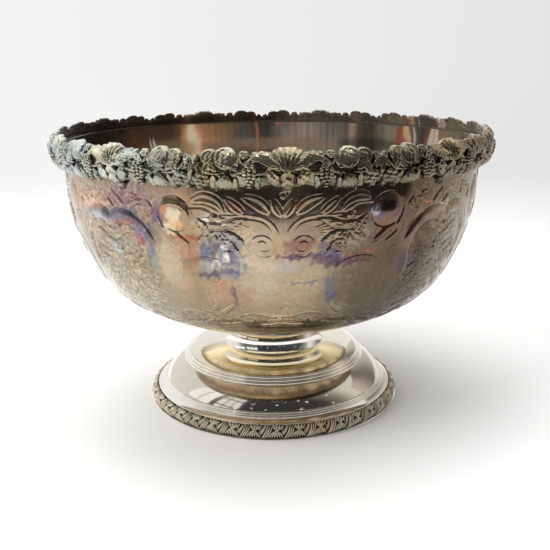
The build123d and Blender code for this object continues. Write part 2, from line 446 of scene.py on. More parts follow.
class Relief:
    """Height map of half a panel: columns across 45 degrees, rows down the bowl's side."""

    def __init__(self, line, step):
        self.line = line
        self.depth = run_length(line)
        self.rows = np.arange(0, self.depth[-1], step)
        self.radius = np.interp(self.rows, self.depth, line[:, 0])
        self.phi = np.linspace(0, HALF_PANEL, round(math.radians(HALF_PANEL) * BOWL_RADIUS / step))
        self.height = np.zeros((len(self.rows), len(self.phi)))
        self.scale = math.pi / 180 * self.radius[:, None]      # mm per degree, row by row

    def down(self, z):
        """Distance down the side at a height z."""
        return np.interp(-np.asarray(z, float), -self.line[:, 1], self.depth)

    def mm_per_degree(self, z):
        return math.pi / 180 * float(np.interp(self.down(z), self.rows, self.radius))

    def window(self, phis, downs, margin):
        """Rows and columns of the map round the given angles and distances."""
        lo, hi = min(downs) - margin, max(downs) + margin
        rows = slice(*np.searchsorted(self.rows, (lo, hi)))
        wide = margin / self.scale[rows].min() if rows.stop > rows.start else 1
        columns = slice(*np.searchsorted(self.phi, (min(phis) - wide, max(phis) + wide)))
        return rows, columns

    def local(self, phi, z, reach):
        """Window round a point, with its x and y in mm from it, y up."""
        down = float(self.down(z))
        rows, columns = self.window([phi], [down], reach)
        x = (self.phi[None, columns] - phi) * self.scale[rows]
        y = down - self.rows[rows, None] + 0 * x
        return (rows, columns), x, y

    def near(self, points, reach):
        """Window round a smooth curve, with the distance to it and the place along it, 0 to 1."""
        curve = smooth_curve(points, RELIEF_CURVE)
        phi, down = curve[:, 0], self.down(curve[:, 1])
        rows, columns = self.window(phi, down, reach)
        dx = (self.phi[None, columns, None] - phi) * self.scale[rows][:, :, None]
        dy = down - self.rows[rows, None, None]
        square = dx * dx + dy * dy
        return (rows, columns), np.sqrt(square.min(-1)), square.argmin(-1) / (len(phi) - 1)

    def cord(self, points, width, height):
        """A raised line."""
        where, d, _ = self.near(points, width + 1)
        self.height[where] += height * np.clip(1 - (d / width) ** 2, 0, 1)

    def groove(self, points, width, depth):
        where, d, _ = self.near(points, width * 3)
        self.height[where] -= depth * np.exp(-(d / width) ** 2)

    def tube(self, points, width, height, taper, outline=0.4):
        """A long rounded scroll, outlined by a groove on each side."""
        where, d, t = self.near(points, width + 3)
        half = width * (taper[0] + (taper[1] - taper[0]) * t)
        shape = height * np.clip(1 - (d / half) ** 2, 0, 1) * (half / width) ** 0.5
        field = np.where(d < half, shape, self.height[where])
        self.height[where] = field - outline * np.exp(-((d - half - 0.5) / 0.7) ** 2)

    def leaf(self, points, width, height, lobes=0, veins=5, hollow=0.0):
        """A leaf along a midrib: it swells from its stalk and narrows to its tip."""
        where, d, t = self.near(points, width * 1.3 + 2)
        half = width * np.sin(np.pi * t ** 0.8) ** 0.6 + 0.15
        if lobes:
            half = half * (0.78 + 0.22 * np.abs(np.sin(np.pi * lobes * t)))
        across = d / half
        crown = np.sqrt(np.clip(1 - across ** 2, 0, 1)) * (1 - hollow) + hollow * across ** 2
        shape = height * crown - 0.30 * np.exp(-(d / 0.45) ** 2)
        if veins:
            shape += 0.16 * np.cos(2 * np.pi * (t * veins - across * 0.8)) * np.clip(1 - across, 0, 1)
        field = np.where(across < 1, shape, self.height[where])
        field -= 0.45 * np.exp(-((d - half - 0.3) / 0.55) ** 2) * (t > 0.02) * (t < 0.98)
        self.height[where] = field

    def dome(self, phi, z, radius, height):
        where, x, y = self.local(phi, z, radius + 4)
        d = np.hypot(x, y)
        shape = height * np.clip(1 - (d / radius) ** 2, 0, 1) ** 0.75
        field = np.where(d < radius, shape, self.height[where])
        self.height[where] = field - 0.5 * np.exp(-((d - radius - 0.4) / 0.6) ** 2)

    def flower(self, phi, z, radius, petals, height, turn=0.0):
        """Cupped petals round a button."""
        where, x, y = self.local(phi, z, radius + 2)
        d, a = np.hypot(x, y), np.arctan2(y, x) + math.radians(turn)
        petal = np.abs(np.cos(a * petals / 2))
        edge = radius * (0.62 + 0.38 * petal ** 0.6)
        heart = radius * 0.27
        bowl = height * (0.35 + 0.65 * np.clip(d / edge, 0, 1)) * np.sqrt(np.clip(1 - (d / edge) ** 6, 0, 1))
        cut = 0.7 * np.exp(-((petal * d) / 0.9) ** 2) * (d > radius * 0.25)
        line = 0.25 * np.exp(-((1 - petal) * d / 0.7) ** 2)
        button = height * 0.9 * np.sqrt(np.clip(1 - (d / heart) ** 2, 0, 1))
        shape = np.where(d < heart, button, bowl - cut - line)
        field = np.where(d < edge, shape, self.height[where])
        self.height[where] = field - 0.4 * np.exp(-((d - edge - 0.3) / 0.5) ** 2)

    def scroll(self, phi, z, outer, turns, start, inner=1.6):
        """(angle, height) points of a spiral that winds in from its outer end."""
        t = np.linspace(0, 1, max(8, round(turns * 12)))
        a = math.radians(start) + t * turns * 2 * math.pi
        r = outer * (inner / outer) ** t
        return list(zip(phi + r * np.cos(a) / self.mm_per_degree(z), z + r * np.sin(a)))

    def flutes(self, points, width, count, height):
        """Short ribs set across a band that follows a curve."""
        where, d, t = self.near(points, width + 1)
        ribs = np.abs(np.sin(np.pi * count * t)) * np.clip(1 - (d / width) ** 4, 0, 1)
        self.height[where] += height * ribs


def smooth_curve(points, steps):
    """Catmull-Rom curve through the points."""
    p = np.asarray(points, float)
    p = np.vstack([2 * p[0] - p[1], p, 2 * p[-1] - p[-2]])
    t = np.linspace(0, 1, steps, endpoint=False)[:, None]
    out = [0.5 * (2 * b + (c - a) * t + (2 * a - 5 * b + 4 * c - d) * t ** 2
                  + (3 * b - a - 3 * c + d) * t ** 3) for a, b, c, d in zip(p, p[1:], p[2:], p[3:])]
    return np.vstack(out + [p[-2:-1]])


def soft_step(value, start, width):
    """0 well below the start, 1 well above it."""
    return 1 / (1 + np.exp(-(value - start) / width))


def rise(value, start, span):
    """0 below the start, climbing evenly to 1 over the span."""
    return np.clip((value - start) / span, 0, 1)


def hill(x, y, place, size):
    """Flat-topped patch with soft edges."""
    return np.exp(-((x - place[0]) / size[0]) ** 4 - ((y - place[1]) / size[1]) ** 4)


def waves(theta, z, seed, count=9, *, reach, tall):
    """Smooth pattern round the bowl, in about -1 to 1, the same on every run."""
    draw = np.random.default_rng(seed)
    total = 0.0
    for _ in range(count):
        k, m = draw.integers(1, reach + 1), draw.uniform(-tall, tall)
        total = total + np.cos(k * theta + m * z + draw.uniform(0, 2 * math.pi))
    return total / math.sqrt(count) * 0.9


def chase_panel(m):
    """Half of one panel, from the cartouche's centre (0) to the bouquet's centre (45)."""
    # Fine matting behind the flowers
    phi, z = m.phi[None, :], np.interp(m.rows, m.depth, m.line[:, 1])[:, None]
    draw = np.random.default_rng(3)
    grain = draw.normal(0, 1, m.height.shape)
    matted = soft_step(phi, 33, 0.8) * soft_step(-z, -178, 2) * soft_step(z, 108, 2)
    m.height += 0.07 * grain * np.clip(matted + hill(phi, z, (13.5, 162), (5, 13)), 0, 1)

    # Bouquet between the big scrolls: leaves first, then the flowers on top of them
    for points, width in (
            ([(45, 160), (41, 166), (38.5, 171)], 3.2), ([(45, 150), (40, 153), (36.5, 158)], 3.4),
            ([(45, 170), (43, 173), (41.5, 175)], 2.2), ([(41, 146), (37.5, 149), (35.5, 153)], 2.6),
            ([(44, 140), (40, 138), (36, 141)], 3.0), ([(41, 141), (37, 136), (34, 135)], 2.8),
            ([(45, 131), (41.5, 129), (38, 130)], 2.8), ([(42, 134), (38, 127), (35, 125)], 2.6),
            ([(45, 122), (42, 118), (39, 117)], 2.6), ([(38, 124), (35, 119), (33, 116)], 2.4),
            ([(45, 114), (41, 110), (37, 110)], 2.4), ([(37, 146), (34.5, 142), (33, 138)], 2.0),
            ([(36, 133), (33.5, 129), (31.5, 126)], 2.0)):
        m.leaf(points, width, 0.85, lobes=3, veins=5)
    for phi0, z0, radius, petals in ((45, 157, 7.5, 8), (39.3, 144, 5.2, 6), (45, 139, 5.6, 6),
                                     (40, 131.5, 4.6, 6), (36, 124, 3.8, 5), (45, 125, 4.6, 6),
                                     (36.3, 152.5, 3.4, 5), (41.3, 120, 3.6, 5)):
        m.flower(phi0, z0, radius, petals, 1.4, turn=phi0 * 7)

    # Diagonal leaves and a rosette above the big scrolls
    for points, width in (
            ([(43, 187), (46, 193), (47.5, 198)], 2.4), ([(39.5, 190), (42, 195), (43.5, 199.5)], 2.2),
            ([(33, 186), (31.5, 191), (32.5, 196)], 2.0), ([(38, 190.5), (36, 194), (33.5, 195)], 1.9)):
        m.leaf(points, width, 0.9, veins=4)
    m.flower(36.2, 196, 4.2, 5, 1.2)

    # Big tubular scroll, curled over at its top
    m.tube([(32.7, 141), (32.3, 149), (32.0, 158), (32.6, 167), (34.8, 176), (38.2, 181.5),
            (41.6, 182), (44.0, 178.5)], 5.0, 1.9, taper=(0.75, 1.0))
    m.cord([(30.9, 149), (30.1, 158), (30.6, 168), (33.0, 178.5), (37.2, 185.6), (41.8, 186.6),
            (45, 183)], 0.7, 0.6)

    # Flutes that ray out between the C-scroll and the big scroll
    m.flutes([(27.3, 162), (28.6, 154), (29.4, 145), (29.8, 136), (29.6, 127), (28.6, 119)], 5.2, 23, 0.42)

    # C-scroll with its lower curl
    m.cord([(12.8, 152.5), (14.8, 156.5), (17.6, 158.6), (20.6, 158.3), (23.6, 155), (25.8, 149),
            (26.9, 141), (26.9, 132), (25.6, 123), (23, 117), (19.5, 114.5)], 0.62, 0.85)
    m.groove([(14.5, 153), (17.6, 156.3), (20.5, 156), (22.9, 152.6), (24.6, 146), (25.3, 138),
              (25, 129), (23.4, 121), (21, 117.5)], 0.7, 0.55)
    m.cord(m.scroll(16.7, 143.6, 6.6, 1.6, 175), 0.62, 0.95)
    m.groove([(14.2, 152.6), (13.9, 148.5), (14.2, 144)], 0.8, 0.5)

    # Leaves that hang in the gap between the volute and the C-scroll, and a small flower
    for points, width in (
            ([(13.6, 177), (10.4, 172), (8.9, 166)], 3.0), ([(14, 176), (11.6, 166), (9.9, 158)], 2.8),
            ([(14.6, 175), (13.4, 164), (12.6, 154.5)], 3.0), ([(15.4, 175), (16.2, 167), (16.4, 161)], 2.8),
            ([(16, 177), (18.8, 172), (19.9, 166)], 2.8), ([(9, 186), (14, 181), (19, 183)], 2.8),
            ([(19.5, 186), (17.4, 179), (18.6, 175)], 2.2)):
        m.leaf(points, width, 1.2, lobes=2, veins=4)
    m.flower(13.4, 168.5, 4.6, 5, 1.7, turn=18)
    m.dome(15.6, 187.2, 2.3, 1.2)

    # Feathered strokes that fan out from the volute
    for k in range(9):
        m.cord([(7.6, 180 - 1.3 * k), (11.0, 183 - 2.5 * k), (14.2 + 0.35 * k, 183.4 - 3.9 * k)], 0.6, 0.26)
    for k in range(6):
        m.cord([(12.5 + 0.3 * k, 186 - 0.5 * k), (16.5, 186.5 - 1.9 * k), (20 - 0.2 * k, 186 - 3.2 * k)],
               0.6, 0.24)

    # Boss at the head of the hanging leaf, and the cord that loops over it and down the leaf
    m.tube([(26.4, 182), (25.8, 175), (22.6, 168.0)], 5.6, 1.3, taper=(1.0, 0.4), outline=0.1)
    m.tube([(28.6, 178), (28.2, 172), (25.4, 166.2)], 2.2, 0.6, taper=(0.8, 0.5), outline=0.1)
    m.dome(25.1, 188.6, 11.4, 2.4)
    m.cord([(21.6, 180.5), (20.8, 188.0), (22.1, 196.0), (25.1, 199.8), (28.2, 196.6), (29.5, 189),
            (28.9, 181.5), (27.2, 175), (24.0, 168.6), (21.8, 166.4)], 0.75, 0.6)
    m.cord([(21.9, 190.5), (23.4, 194.2), (26.4, 194.8), (28.1, 191), (27.8, 185.5), (26.0, 181.5)], 0.6, 0.3)

    # Curled leaves of the crest, from the boss to the centre
    m.leaf([(20.4, 197.6), (17.6, 199.6), (14.8, 196.6), (13.2, 190)], 3.1, 1.5, veins=0, hollow=0.5)
    m.leaf([(8.9, 189.6), (10.8, 194), (12.9, 199.4)], 2.5, 1.3, veins=0, hollow=0.6)
    m.leaf([(3.3, 190.6), (5.9, 196.4), (9.3, 200.4)], 3.5, 1.6, veins=0, hollow=0.7)
    m.leaf([(0.4, 188.6), (1.7, 194), (2.5, 199.4)], 2.6, 1.6, veins=0, hollow=0.4)
    m.dome(0, 201.5, 1.6, 1.2)
    m.groove([(21, 193.4), (17.8, 193.4), (15, 189.4), (11, 188.2), (8, 187.4)], 0.7, 0.5)

    # Volute beside the cartouche
    m.cord([(13.4, 188.4), (10.4, 188.0), (7.4, 188.4), (4.4, 186.6), (2.1, 181.6), (1.0, 174.6),
            (1.2, 167.2), (2.6, 161.4), (4.6, 159.6), (6.7, 162.2), (7.4, 167.6), (6.6, 172.8),
            (4.9, 174.6), (3.2, 172.6), (2.6, 168.0), (3.5, 164.4), (4.9, 163.8), (5.8, 166.6), (5.6, 169.8),
            (4.6, 170.6), (4.1, 168.6)], 0.62, 0.6)
    m.groove([(9, 186), (6.6, 186.2), (4.2, 184.2), (2.6, 179), (1.9, 172), (2.3, 165.5), (4.0, 161.8),
              (5.7, 164), (6.2, 168.4), (5.2, 172.2), (4.1, 171.2)], 0.6, 0.25)

    # Scrolls and leaves that close the cartouche below
    m.cord([(0, 112.5), (3, 112), (6, 114.5), (9.2, 114.5), (12, 111.5), (11.5, 107.6), (8.8, 106.6),
            (8, 109.4), (9.8, 111)], 0.9, 0.8)
    m.cord([(12.6, 110), (16, 108), (19.5, 110), (22.6, 113.6), (26.5, 114.6), (30, 112), (30.5, 107.5),
            (27.6, 105), (25.4, 107.4), (27, 110)], 0.9, 0.8)
    m.cord([(31, 111), (34, 106), (38.5, 103), (42, 104.5), (45, 107)], 0.9, 0.7)
    for points, width in (
            ([(0, 105), (3, 103), (6.5, 103.5)], 2.2), ([(12, 105), (15.5, 102), (19.5, 103)], 2.4),
            ([(20.5, 107), (23, 103), (24.5, 99)], 2.2), ([(31, 104), (34.5, 99.5), (38.5, 98)], 2.4),
            ([(45, 103), (41.5, 98), (37.5, 95)], 2.4), ([(4, 107.6), (2.2, 108.6), (0.4, 107.6)], 1.8),
            ([(17.5, 113.5), (14.6, 118), (12.8, 123)], 2.4), ([(19.5, 116), (17.4, 122), (17.6, 128)], 2.4)):
        m.leaf(points, width, 0.9, lobes=2, veins=3)
    m.flower(0, 108.8, 3.4, 6, 1.1)


def bowl():
    """The chased sheet: one closed mesh, its relief worked outward, faint on the inside."""
    outer = bowl_line(step=LINE_STEP)
    panel = Relief(outer[(outer[:, 1] <= CHASED_TOP) & (outer[:, 1] >= CHASED_BOTTOM)], PANEL_STEP)
    chase_panel(panel)
    length = run_length(outer)
    first, last = (float(np.interp(-z, -outer[:, 1], length)) for z in (CHASED_TOP, CHASED_BOTTOM))

    def rows_down(lip_rows, spacing, bottom_rows):
        """Distances down the side: coarse at the lip and bottom, finer over the chasing."""
        lip = np.linspace(0.5, first, lip_rows, endpoint=False)
        bottom = np.linspace(last, length[-1] - 0.4, bottom_rows)
        return np.concatenate([[0, 0.05], lip, np.arange(first, last, spacing), bottom])

    rows, inner_rows = rows_down(8, BOWL_ROW, 42), rows_down(5, 2.5, 26)
    theta = np.linspace(-math.pi, math.pi, BOWL_COLUMNS, endpoint=False)
    height, recess = panel_heights(panel, rows - first, theta)
    outside = bowl_face(theta, 0.0, rows / length[-1], height)[::-1]
    same_rows = np.searchsorted(rows, inner_rows).clip(0, len(rows) - 1)
    inside = bowl_face(theta, BOWL_WALL, inner_rows / length[-1], blurred(height, 5)[same_rows] * 0.25)
    bag = Bag()
    bag.grid(np.vstack([outside, inside]), close_columns=True)
    fill_disc(bag, outside[0], False)
    fill_disc(bag, inside[-1], True)

    z_out, z_in = outside[..., 2], inside[..., 2]
    discs = np.zeros(bag.count - z_out.size - z_in.size)
    film = mottled(outside_tone(theta + 0 * z_out, z_out), theta, z_out)
    tone = np.concatenate([film.reshape(-1, 3), inside_tone(theta + 0 * z_in, z_in).reshape(-1, 3),
                           np.full((len(discs), 3), 0.6)])
    bag.make("bowl_chased", "bowl_plate", ["bowl_shell"], {
        "tone": np.clip(tone, 0.005, 0.97),
        "recess": np.concatenate([recess[::-1].ravel(), np.zeros(z_in.size), discs]),
        "dull": np.concatenate([np.full(z_out.size, 0.09), 0.4 * rise(z_in, 135, 30).ravel(), discs])})


def bowl_face(theta, offset, place, relief):
    """Points of the sheet's outer face, or of the face an offset inside it, moved out by the relief.

    The place runs from 0 at the lip to 1 at the axis.
    """
    line = bowl_line(offset, step=LINE_STEP)
    run = run_length(line)
    at = place * run[-1]
    section = np.stack([np.interp(at, run, line[:, 0]), np.interp(at, run, line[:, 1])], 1)
    along = tangents(section)
    return polar(section[:, :1] - along[:, 1:] * relief, theta, section[:, 1:] + along[:, :1] * relief)


def mottled(tone, theta, z):
    """The outside's film, mottled most where the ground is matted or the relief is close."""
    phi = np.abs(panel_angle(theta))[None, :]
    worked = np.clip(rise(phi, 31.5, 2) * rise(-z, -182, 4) * rise(z, 104, 6)
                     + hill(phi, z, (14, 166), (6, 17))
                     + 0.8 * rise(z, 180, 4) * rise(phi, 29, 2)
                     + 0.8 * np.exp(-((z - 105) / 10) ** 4), 0, 1)
    draw = np.random.default_rng(8)
    coarse, fine, tint = (scale * blurred(draw.normal(0, 1, z.shape), size)
                          for scale, size in ((4.2, 2), (2.6, 1), (7, 4)))
    tone = tone * np.exp((0.75 * fine + 0.45 * coarse) * (0.05 + 0.22 * worked))[..., None]
    return tone * (1 + (tint * (0.025 + 0.03 * worked))[..., None] * (1.0, 0.0, -1.2))


def panel_angle(theta):
    """Degrees from the centre of the nearest panel."""
    return (np.degrees(theta) - PANEL_CENTRE + HALF_PANEL) % (2 * HALF_PANEL) - HALF_PANEL


def fill_disc(bag, ring, flip):
    """Close the small hole that the grid leaves at the axis, with quads to a centre point."""
    count = len(ring)
    centre = ring.mean(0)
    index = np.arange(0, count, 2)
    quads = np.stack([index, index + 1, (index + 2) % count, np.full(len(index), count)], 1)
    bag.add(np.vstack([ring, centre]), quads[:, ::-1] if flip else quads)


def blurred(field, size):
    """Box blur that wraps round the bowl."""
    out = field
    for axis in (0, 1):
        total = 0
        for shift in range(-size, size + 1):
            total = total + np.roll(out, shift, axis)
        out = total / (2 * size + 1)
    return out


def panel_heights(panel, downs, theta):
    """Relief and recess values on the mesh's grid: the half panel mirrored round the bowl."""
    t, d = np.meshgrid(theta, downs)
    drift_x = 0.25 * waves(t, d, 11, reach=23, tall=0.12)
    drift_y = 0.7 * waves(t, d, 12, reach=23, tall=0.12)
    phi = np.abs(panel_angle(t) + drift_x)
    phi = np.where(phi > HALF_PANEL, 2 * HALF_PANEL - phi, phi)
    x = phi / HALF_PANEL * (len(panel.phi) - 1)
    y = (d + drift_y) / (panel.rows[1] - panel.rows[0])
    inside = (y > 0) & (y < len(panel.rows) - 1)
    y = y.clip(0, len(panel.rows) - 1.001)
    x = x.clip(0, len(panel.phi) - 1.001)
    i, j = y.astype(int), x.astype(int)
    fy, fx = y - i, x - j

    def sample(field):
        a = field[i, j] * (1 - fx) + field[i, j + 1] * fx
        b = field[i + 1, j] * (1 - fx) + field[i + 1, j + 1] * fx
        return np.where(inside, a * (1 - fy) + b * fy, 0.0)

    tile = panel.height
    low = blurred(tile, 4)
    # How far each point lies below the relief round it; the bowl's material paints shade there
    recess = np.clip((low - tile - 0.07) * 1.05, 0, 0.62)
    height = 0.62 * sample(tile) * rise(d, 0, 3) * rise(downs[-1] - d, 0, 1)
    dents = 0.12 * waves(t, d, 21, count=14, reach=30, tall=0.15)
    return height + dents * rise(d, 0, 10) * (d < panel.rows[-1] + 30), sample(recess)


# Tones round the outside at seven heights: {height: [(angle, sRGB), ...]}
TONES = {
    # The rows at 58 and 72, hidden under the bowl, are pale so that the foot's crown shows them as a gold
    # reflection: painted light
    58: [(-90, (250, 235, 205)), (90, (250, 235, 205))],
    72: [(-90, (250, 235, 205)), (90, (250, 235, 200))],
    82: [(-90, (120, 100, 80)), (90, (120, 100, 80)), (180, (135, 115, 90))],
    92: [(-150, (170, 165, 150)), (-110, (165, 150, 120)), (-90, (175, 155, 120)), (-75, (115, 100, 70)),
         (-55, (70, 60, 50)), (-25, (110, 100, 85)), (60, (120, 105, 80)), (150, (150, 140, 115))],
    115: [(-150, (185, 180, 170)), (-120, (180, 170, 150)), (-108, (175, 160, 135)), (-86, (200, 180, 150)),
          (-70, (115, 105, 85)), (-50, (95, 85, 70)), (-25, (160, 150, 135)), (60, (150, 140, 120)),
          (150, (180, 170, 160))],
    155: [(-150, (155, 150, 135)), (-110, (150, 130, 100)), (-94, (185, 170, 150)), (-80, (165, 150, 125)),
          (-70, (100, 90, 75)), (-50, (80, 65, 50)), (-25, (150, 145, 130)), (60, (140, 130, 110)),
          (150, (170, 155, 145))],
    190: [(-150, (190, 170, 150)), (-125, (155, 135, 130)), (-110, (165, 140, 115)), (-88, (165, 150, 125)),
          (-70, (130, 110, 95)), (-55, (105, 90, 70)), (-25, (150, 135, 115)), (60, (150, 135, 115)),
          (150, (165, 140, 125))],
}

# Tarnish on the outside, with painted highlights and painted shade among it: (angle, height, half width, half
# height, sRGB, softness of the edge).
# Later ones lie over earlier ones.
STAINS_AND_PAINTED_LIGHT = [
    # Peach and mauve band at the left, grey-blue under it
    (-142, 190, 9.5, 7, (208, 168, 142), 0.08), (-127, 196, 7, 6, (150, 112, 120), 0.30),
    (-137, 180, 7, 3.5, (165, 166, 182), 0.5), (-133, 158, 2.6, 6, (150, 165, 172), 0.6),
    # Shade under the castings in front
    (-95, 200, 9, 6.5, (92, 88, 82), 0.15), (-73, 199.5, 9, 5.5, (104, 92, 84), 0.3),
    # Big scroll on the left: blue on its crown, red inside
    (-129, 184.5, 6.5, 4.2, (88, 96, 128), 0.35), (-122.4, 175, 3.4, 8, (88, 92, 124), 0.4),
    (-119.6, 160, 1.9, 9, (84, 100, 142), 0.5), (-119.2, 149, 1.2, 8, (104, 140, 142), 0.5),
    (-127.5, 178.6, 4.2, 2.0, (150, 66, 72), 0.4), (-122.8, 168.5, 1.8, 5, (150, 88, 98), 0.5),
    (-115.5, 152, 3, 20, (200, 182, 150), 0.5), (-112, 136, 2.4, 14, (190, 158, 122), 0.6),
    # Left boss and the leaf that hangs from it, the near-white spots on them painted highlights
    (-117.2, 187, 1.3, 8, (95, 75, 125), 0.4), (-115, 191.5, 1.6, 3, (215, 125, 60), 0.5),
    (-112.4, 187, 2.4, 6, (238, 218, 184), 0.4), (-111.2, 181, 1.6, 3, (222, 150, 70), 0.5),
    (-113.8, 177, 2.5, 4, (230, 210, 172), 0.5), (-111, 171.2, 3, 2.6, (180, 108, 66), 0.5),
    (-108.6, 172.5, 1.2, 2, (146, 66, 48), 0.5), (-111, 163.5, 3.4, 6, (184, 138, 112), 0.4),
    (-108.7, 160, 1.0, 9, (168, 104, 76), 0.5),
    # Cool square over the hanging leaves and the flower, with a violet lower edge; its near-white spots are
    # painted highlights
    (-101.6, 160, 6.0, 20, (138, 140, 142), 0.12), (-105.6, 163, 1.5, 6, (84, 82, 122), 0.6),
    (-102.5, 166.5, 2.0, 3, (88, 80, 122), 0.6), (-98.0, 161, 1.4, 8, (96, 96, 130), 0.6),
    (-103.6, 154.5, 1.7, 3.5, (214, 214, 216), 0.5), (-100.4, 158, 0.9, 4, (222, 222, 224), 0.5),
    (-100.8, 167, 1.2, 1.4, (222, 222, 224), 0.6), (-104.6, 146, 3, 2.2, (78, 58, 98), 0.5),
    (-99.2, 147.4, 2.4, 2.4, (72, 80, 130), 0.6), (-102, 184, 5, 6, (160, 150, 136), 0.4),
    (-105, 184, 1, 3, (238, 238, 228), 0.8), (-101.5, 183.4, 2, 0.9, (238, 238, 232), 0.8),
    # Orange patch below it, with a thin violet line at its side
    (-102.5, 135, 2.8, 6.5, (206, 150, 108), 0.35), (-104.8, 127, 2.4, 4, (205, 165, 125), 0.6),
    (-100.2, 131, 0.8, 7, (78, 72, 112), 0.5), (-96, 128, 1.8, 9, (192, 150, 112), 0.6),
    # Gold strip between the volutes, brown in the right one
    (-88.4, 168, 1.0, 11, (175, 142, 82), 0.5), (-83.6, 176, 3.4, 12, (160, 130, 110), 0.4),
    (-83.2, 168, 3.0, 5.4, (134, 76, 70), 0.45), (-85.2, 160.4, 3.4, 1.5, (118, 76, 98), 0.5),
    (-85.5, 153, 3.2, 3.6, (160, 158, 162), 0.5), (-82, 142, 3, 0.9, (90, 95, 130), 0.9),
    (-85, 121, 4, 1.4, (150, 132, 104), 0.8), (-80.5, 127, 2.2, 1.2, (160, 142, 112), 0.8),
    # Violet wedge and blue streak on the right
    (-81.5, 159.6, 6, 1.8, (88, 58, 90), 0.3), (-76.5, 156, 4.6, 4.6, (74, 50, 96), 0.35),
    (-72.5, 157, 3.6, 3.6, (94, 64, 86), 0.45), (-69, 159.5, 3, 2.4, (125, 80, 70), 0.6),
    (-65.8, 162, 1.0, 1.4, (170, 82, 52), 0.8), (-77.6, 165, 1.7, 6, (88, 84, 122), 0.6),
    (-75.2, 162.5, 1, 6, (78, 84, 128), 0.6), (-74.2, 138, 1.5, 11, (98, 112, 136), 0.3),
    (-73.6, 127, 1.3, 4, (78, 82, 138), 0.5), (-72.4, 116, 3.0, 8, (158, 144, 116), 0.6),
    (-71, 174, 5, 8, (136, 120, 106), 0.5),
    # Right boss, its leaf and the right scroll; the pale blue spot and the near-black one on the boss are a
    # painted highlight and painted shade
    (-66.4, 189, 1.6, 3.6, (210, 215, 230), 0.5), (-64.5, 184.5, 1.5, 2.4, (110, 90, 132), 0.6),
    (-62.6, 192, 2.2, 4, (54, 48, 48), 0.5), (-60.2, 186, 1.4, 8, (120, 85, 100), 0.5),
    (-62.4, 178, 1.6, 5, (140, 86, 62), 0.5), (-64.4, 172.5, 2.2, 2, (110, 70, 80), 0.6),
    (-54.5, 149, 4, 7, (90, 72, 84), 0.45), (-55, 170, 3, 12, (136, 106, 96), 0.5),
    (-49, 183, 5, 4, (152, 122, 110), 0.5), (-43, 184, 3, 4, (188, 168, 150), 0.6),
    (-50, 192, 1.2, 1.2, (195, 92, 50), 0.8), (-84, 196.5, 2.2, 1.6, (150, 70, 55), 0.8),
    (-97, 195, 2.2, 2.4, (160, 84, 60), 0.8), (-95, 191, 1.5, 2, (90, 80, 140), 0.8),
]

# Tones round the inside wall: (angle, sRGB), the film with painted reflections in it. Narrow streaks and
# painted glints are in a table below.
INSIDE_FILM_AND_REFLECTIONS = [
    (-160, (215, 210, 200)), (-90, (235, 230, 220)), (-20, (215, 210, 200)), (5, (90, 85, 75)),
    (20, (120, 105, 80)), (31, (60, 55, 55)), (46, (150, 145, 120)), (56, (120, 110, 95)),
    (66, (105, 100, 90)), (80, (145, 130, 120)), (92, (60, 55, 50)), (102, (100, 85, 70)),
    (113, (170, 125, 75)), (126, (90, 75, 50)), (142, (90, 65, 45)), (155, (55, 45, 35)), (180, (60, 50, 45)),
]
# Light between the wall and the eye is reflected twice, and less of it from the dark side
INSIDE_LIFT = 1.85
LIFT_ANGLES = [0, 25, 42, 48, 55, 66, 74, 95, 115, 135, 160]
LIFT_FACTORS = [1.4, 1.2, 0.70, 0.8, 0.30, 0.62, 0.85, 0.70, 0.72, 1.05, 0.62]
# Streaks down the inside wall, the near-white ones painted glints: (angle, height, half width, half height,
# sRGB, softness of the edge)
INSIDE_STREAKS_AND_GLINTS = [
    (26, 205, 2.8, 40, (200, 105, 50), 0.6), (40.5, 205, 3.0, 40, (210, 105, 45), 0.6),
    (118.5, 205, 3.4, 40, (240, 150, 65), 0.6), (25, 205, 1.0, 40, (255, 240, 210), 0.6),
    (27.5, 205, 0.8, 40, (250, 220, 180), 0.6),
    (35, 205, 0.6, 40, (200, 200, 195), 0.5), (38.5, 205, 1.0, 40, (255, 205, 150), 0.6),
    (41.5, 205, 1.4, 40, (165, 80, 40), 0.5), (60.5, 205, 1.6, 40, (225, 180, 150), 0.6),
    (95.5, 205, 0.7, 40, (210, 110, 50), 0.5), (118.5, 205, 1.6, 40, (255, 235, 180), 0.7),
    (112, 226, 8, 6, (122, 106, 72), 0.4), (92, 199, 26, 6, (140, 110, 80), 0.3),
    (54, 201, 13, 6, (56, 63, 57), 0.3), (134, 216, 8, 14, (66, 50, 38), 0.3),
    (128, 197, 9, 9, (148, 126, 86), 0.4), (136.0, 200, 0.5, 8, (250, 248, 240), 0.5),
    (134.0, 200, 0.5, 8, (250, 248, 240), 0.5), (87.6, 221, 1.0, 4, (205, 84, 78), 0.6),
    (101, 214, 1.4, 10, (70, 84, 96), 0.7), (120.2, 196, 3, 6, (190, 150, 96), 0.5),
    (148, 222, 2.6, 6, (44, 36, 32), 0.6), (40.6, 205, 2.4, 5, (170, 100, 46), 0.6),
]


def linear(red, green, blue):
    """Reflectance that shows as this sRGB colour where the surround is nearly white."""
    c = np.array((red, green, blue)) / 255
    return np.where(c < 0.04045, c / 12.92, ((c + 0.055) / 1.055) ** 2.4) * 1.04


def round_tone(rows, degrees):
    """Colour round the bowl at one height, between the listed angles."""
    angles = [a for a, _ in rows]
    colours = np.array([linear(*c) for _, c in rows])
    return np.stack([np.interp(degrees, angles, colours[:, k], period=360) for k in range(3)], -1)


def stained_and_lit(tone, degrees, z, overlays):
    """Lay soft-edged patches over a field of colours: tarnish, and painted highlights, shade and reflections.
    """
    for angle, height, wide, tall, colour, edge in overlays:
        away = (degrees - angle + 180) % 360 - 180
        far = np.hypot(away / wide, (z - height) / tall)
        near = far < 1 + 3 * edge
        mask = 1 / (1 + np.exp((far[near] - 1) / (edge * 0.28)))[:, None]
        patch_colour = linear(*colour)
        patch_colour = 0.80 * patch_colour + 0.20 * patch_colour.mean()
        tone[near] = tone[near] * (1 - mask) + (0.66 * patch_colour + 0.34 * tone[near]) * mask
    return tone


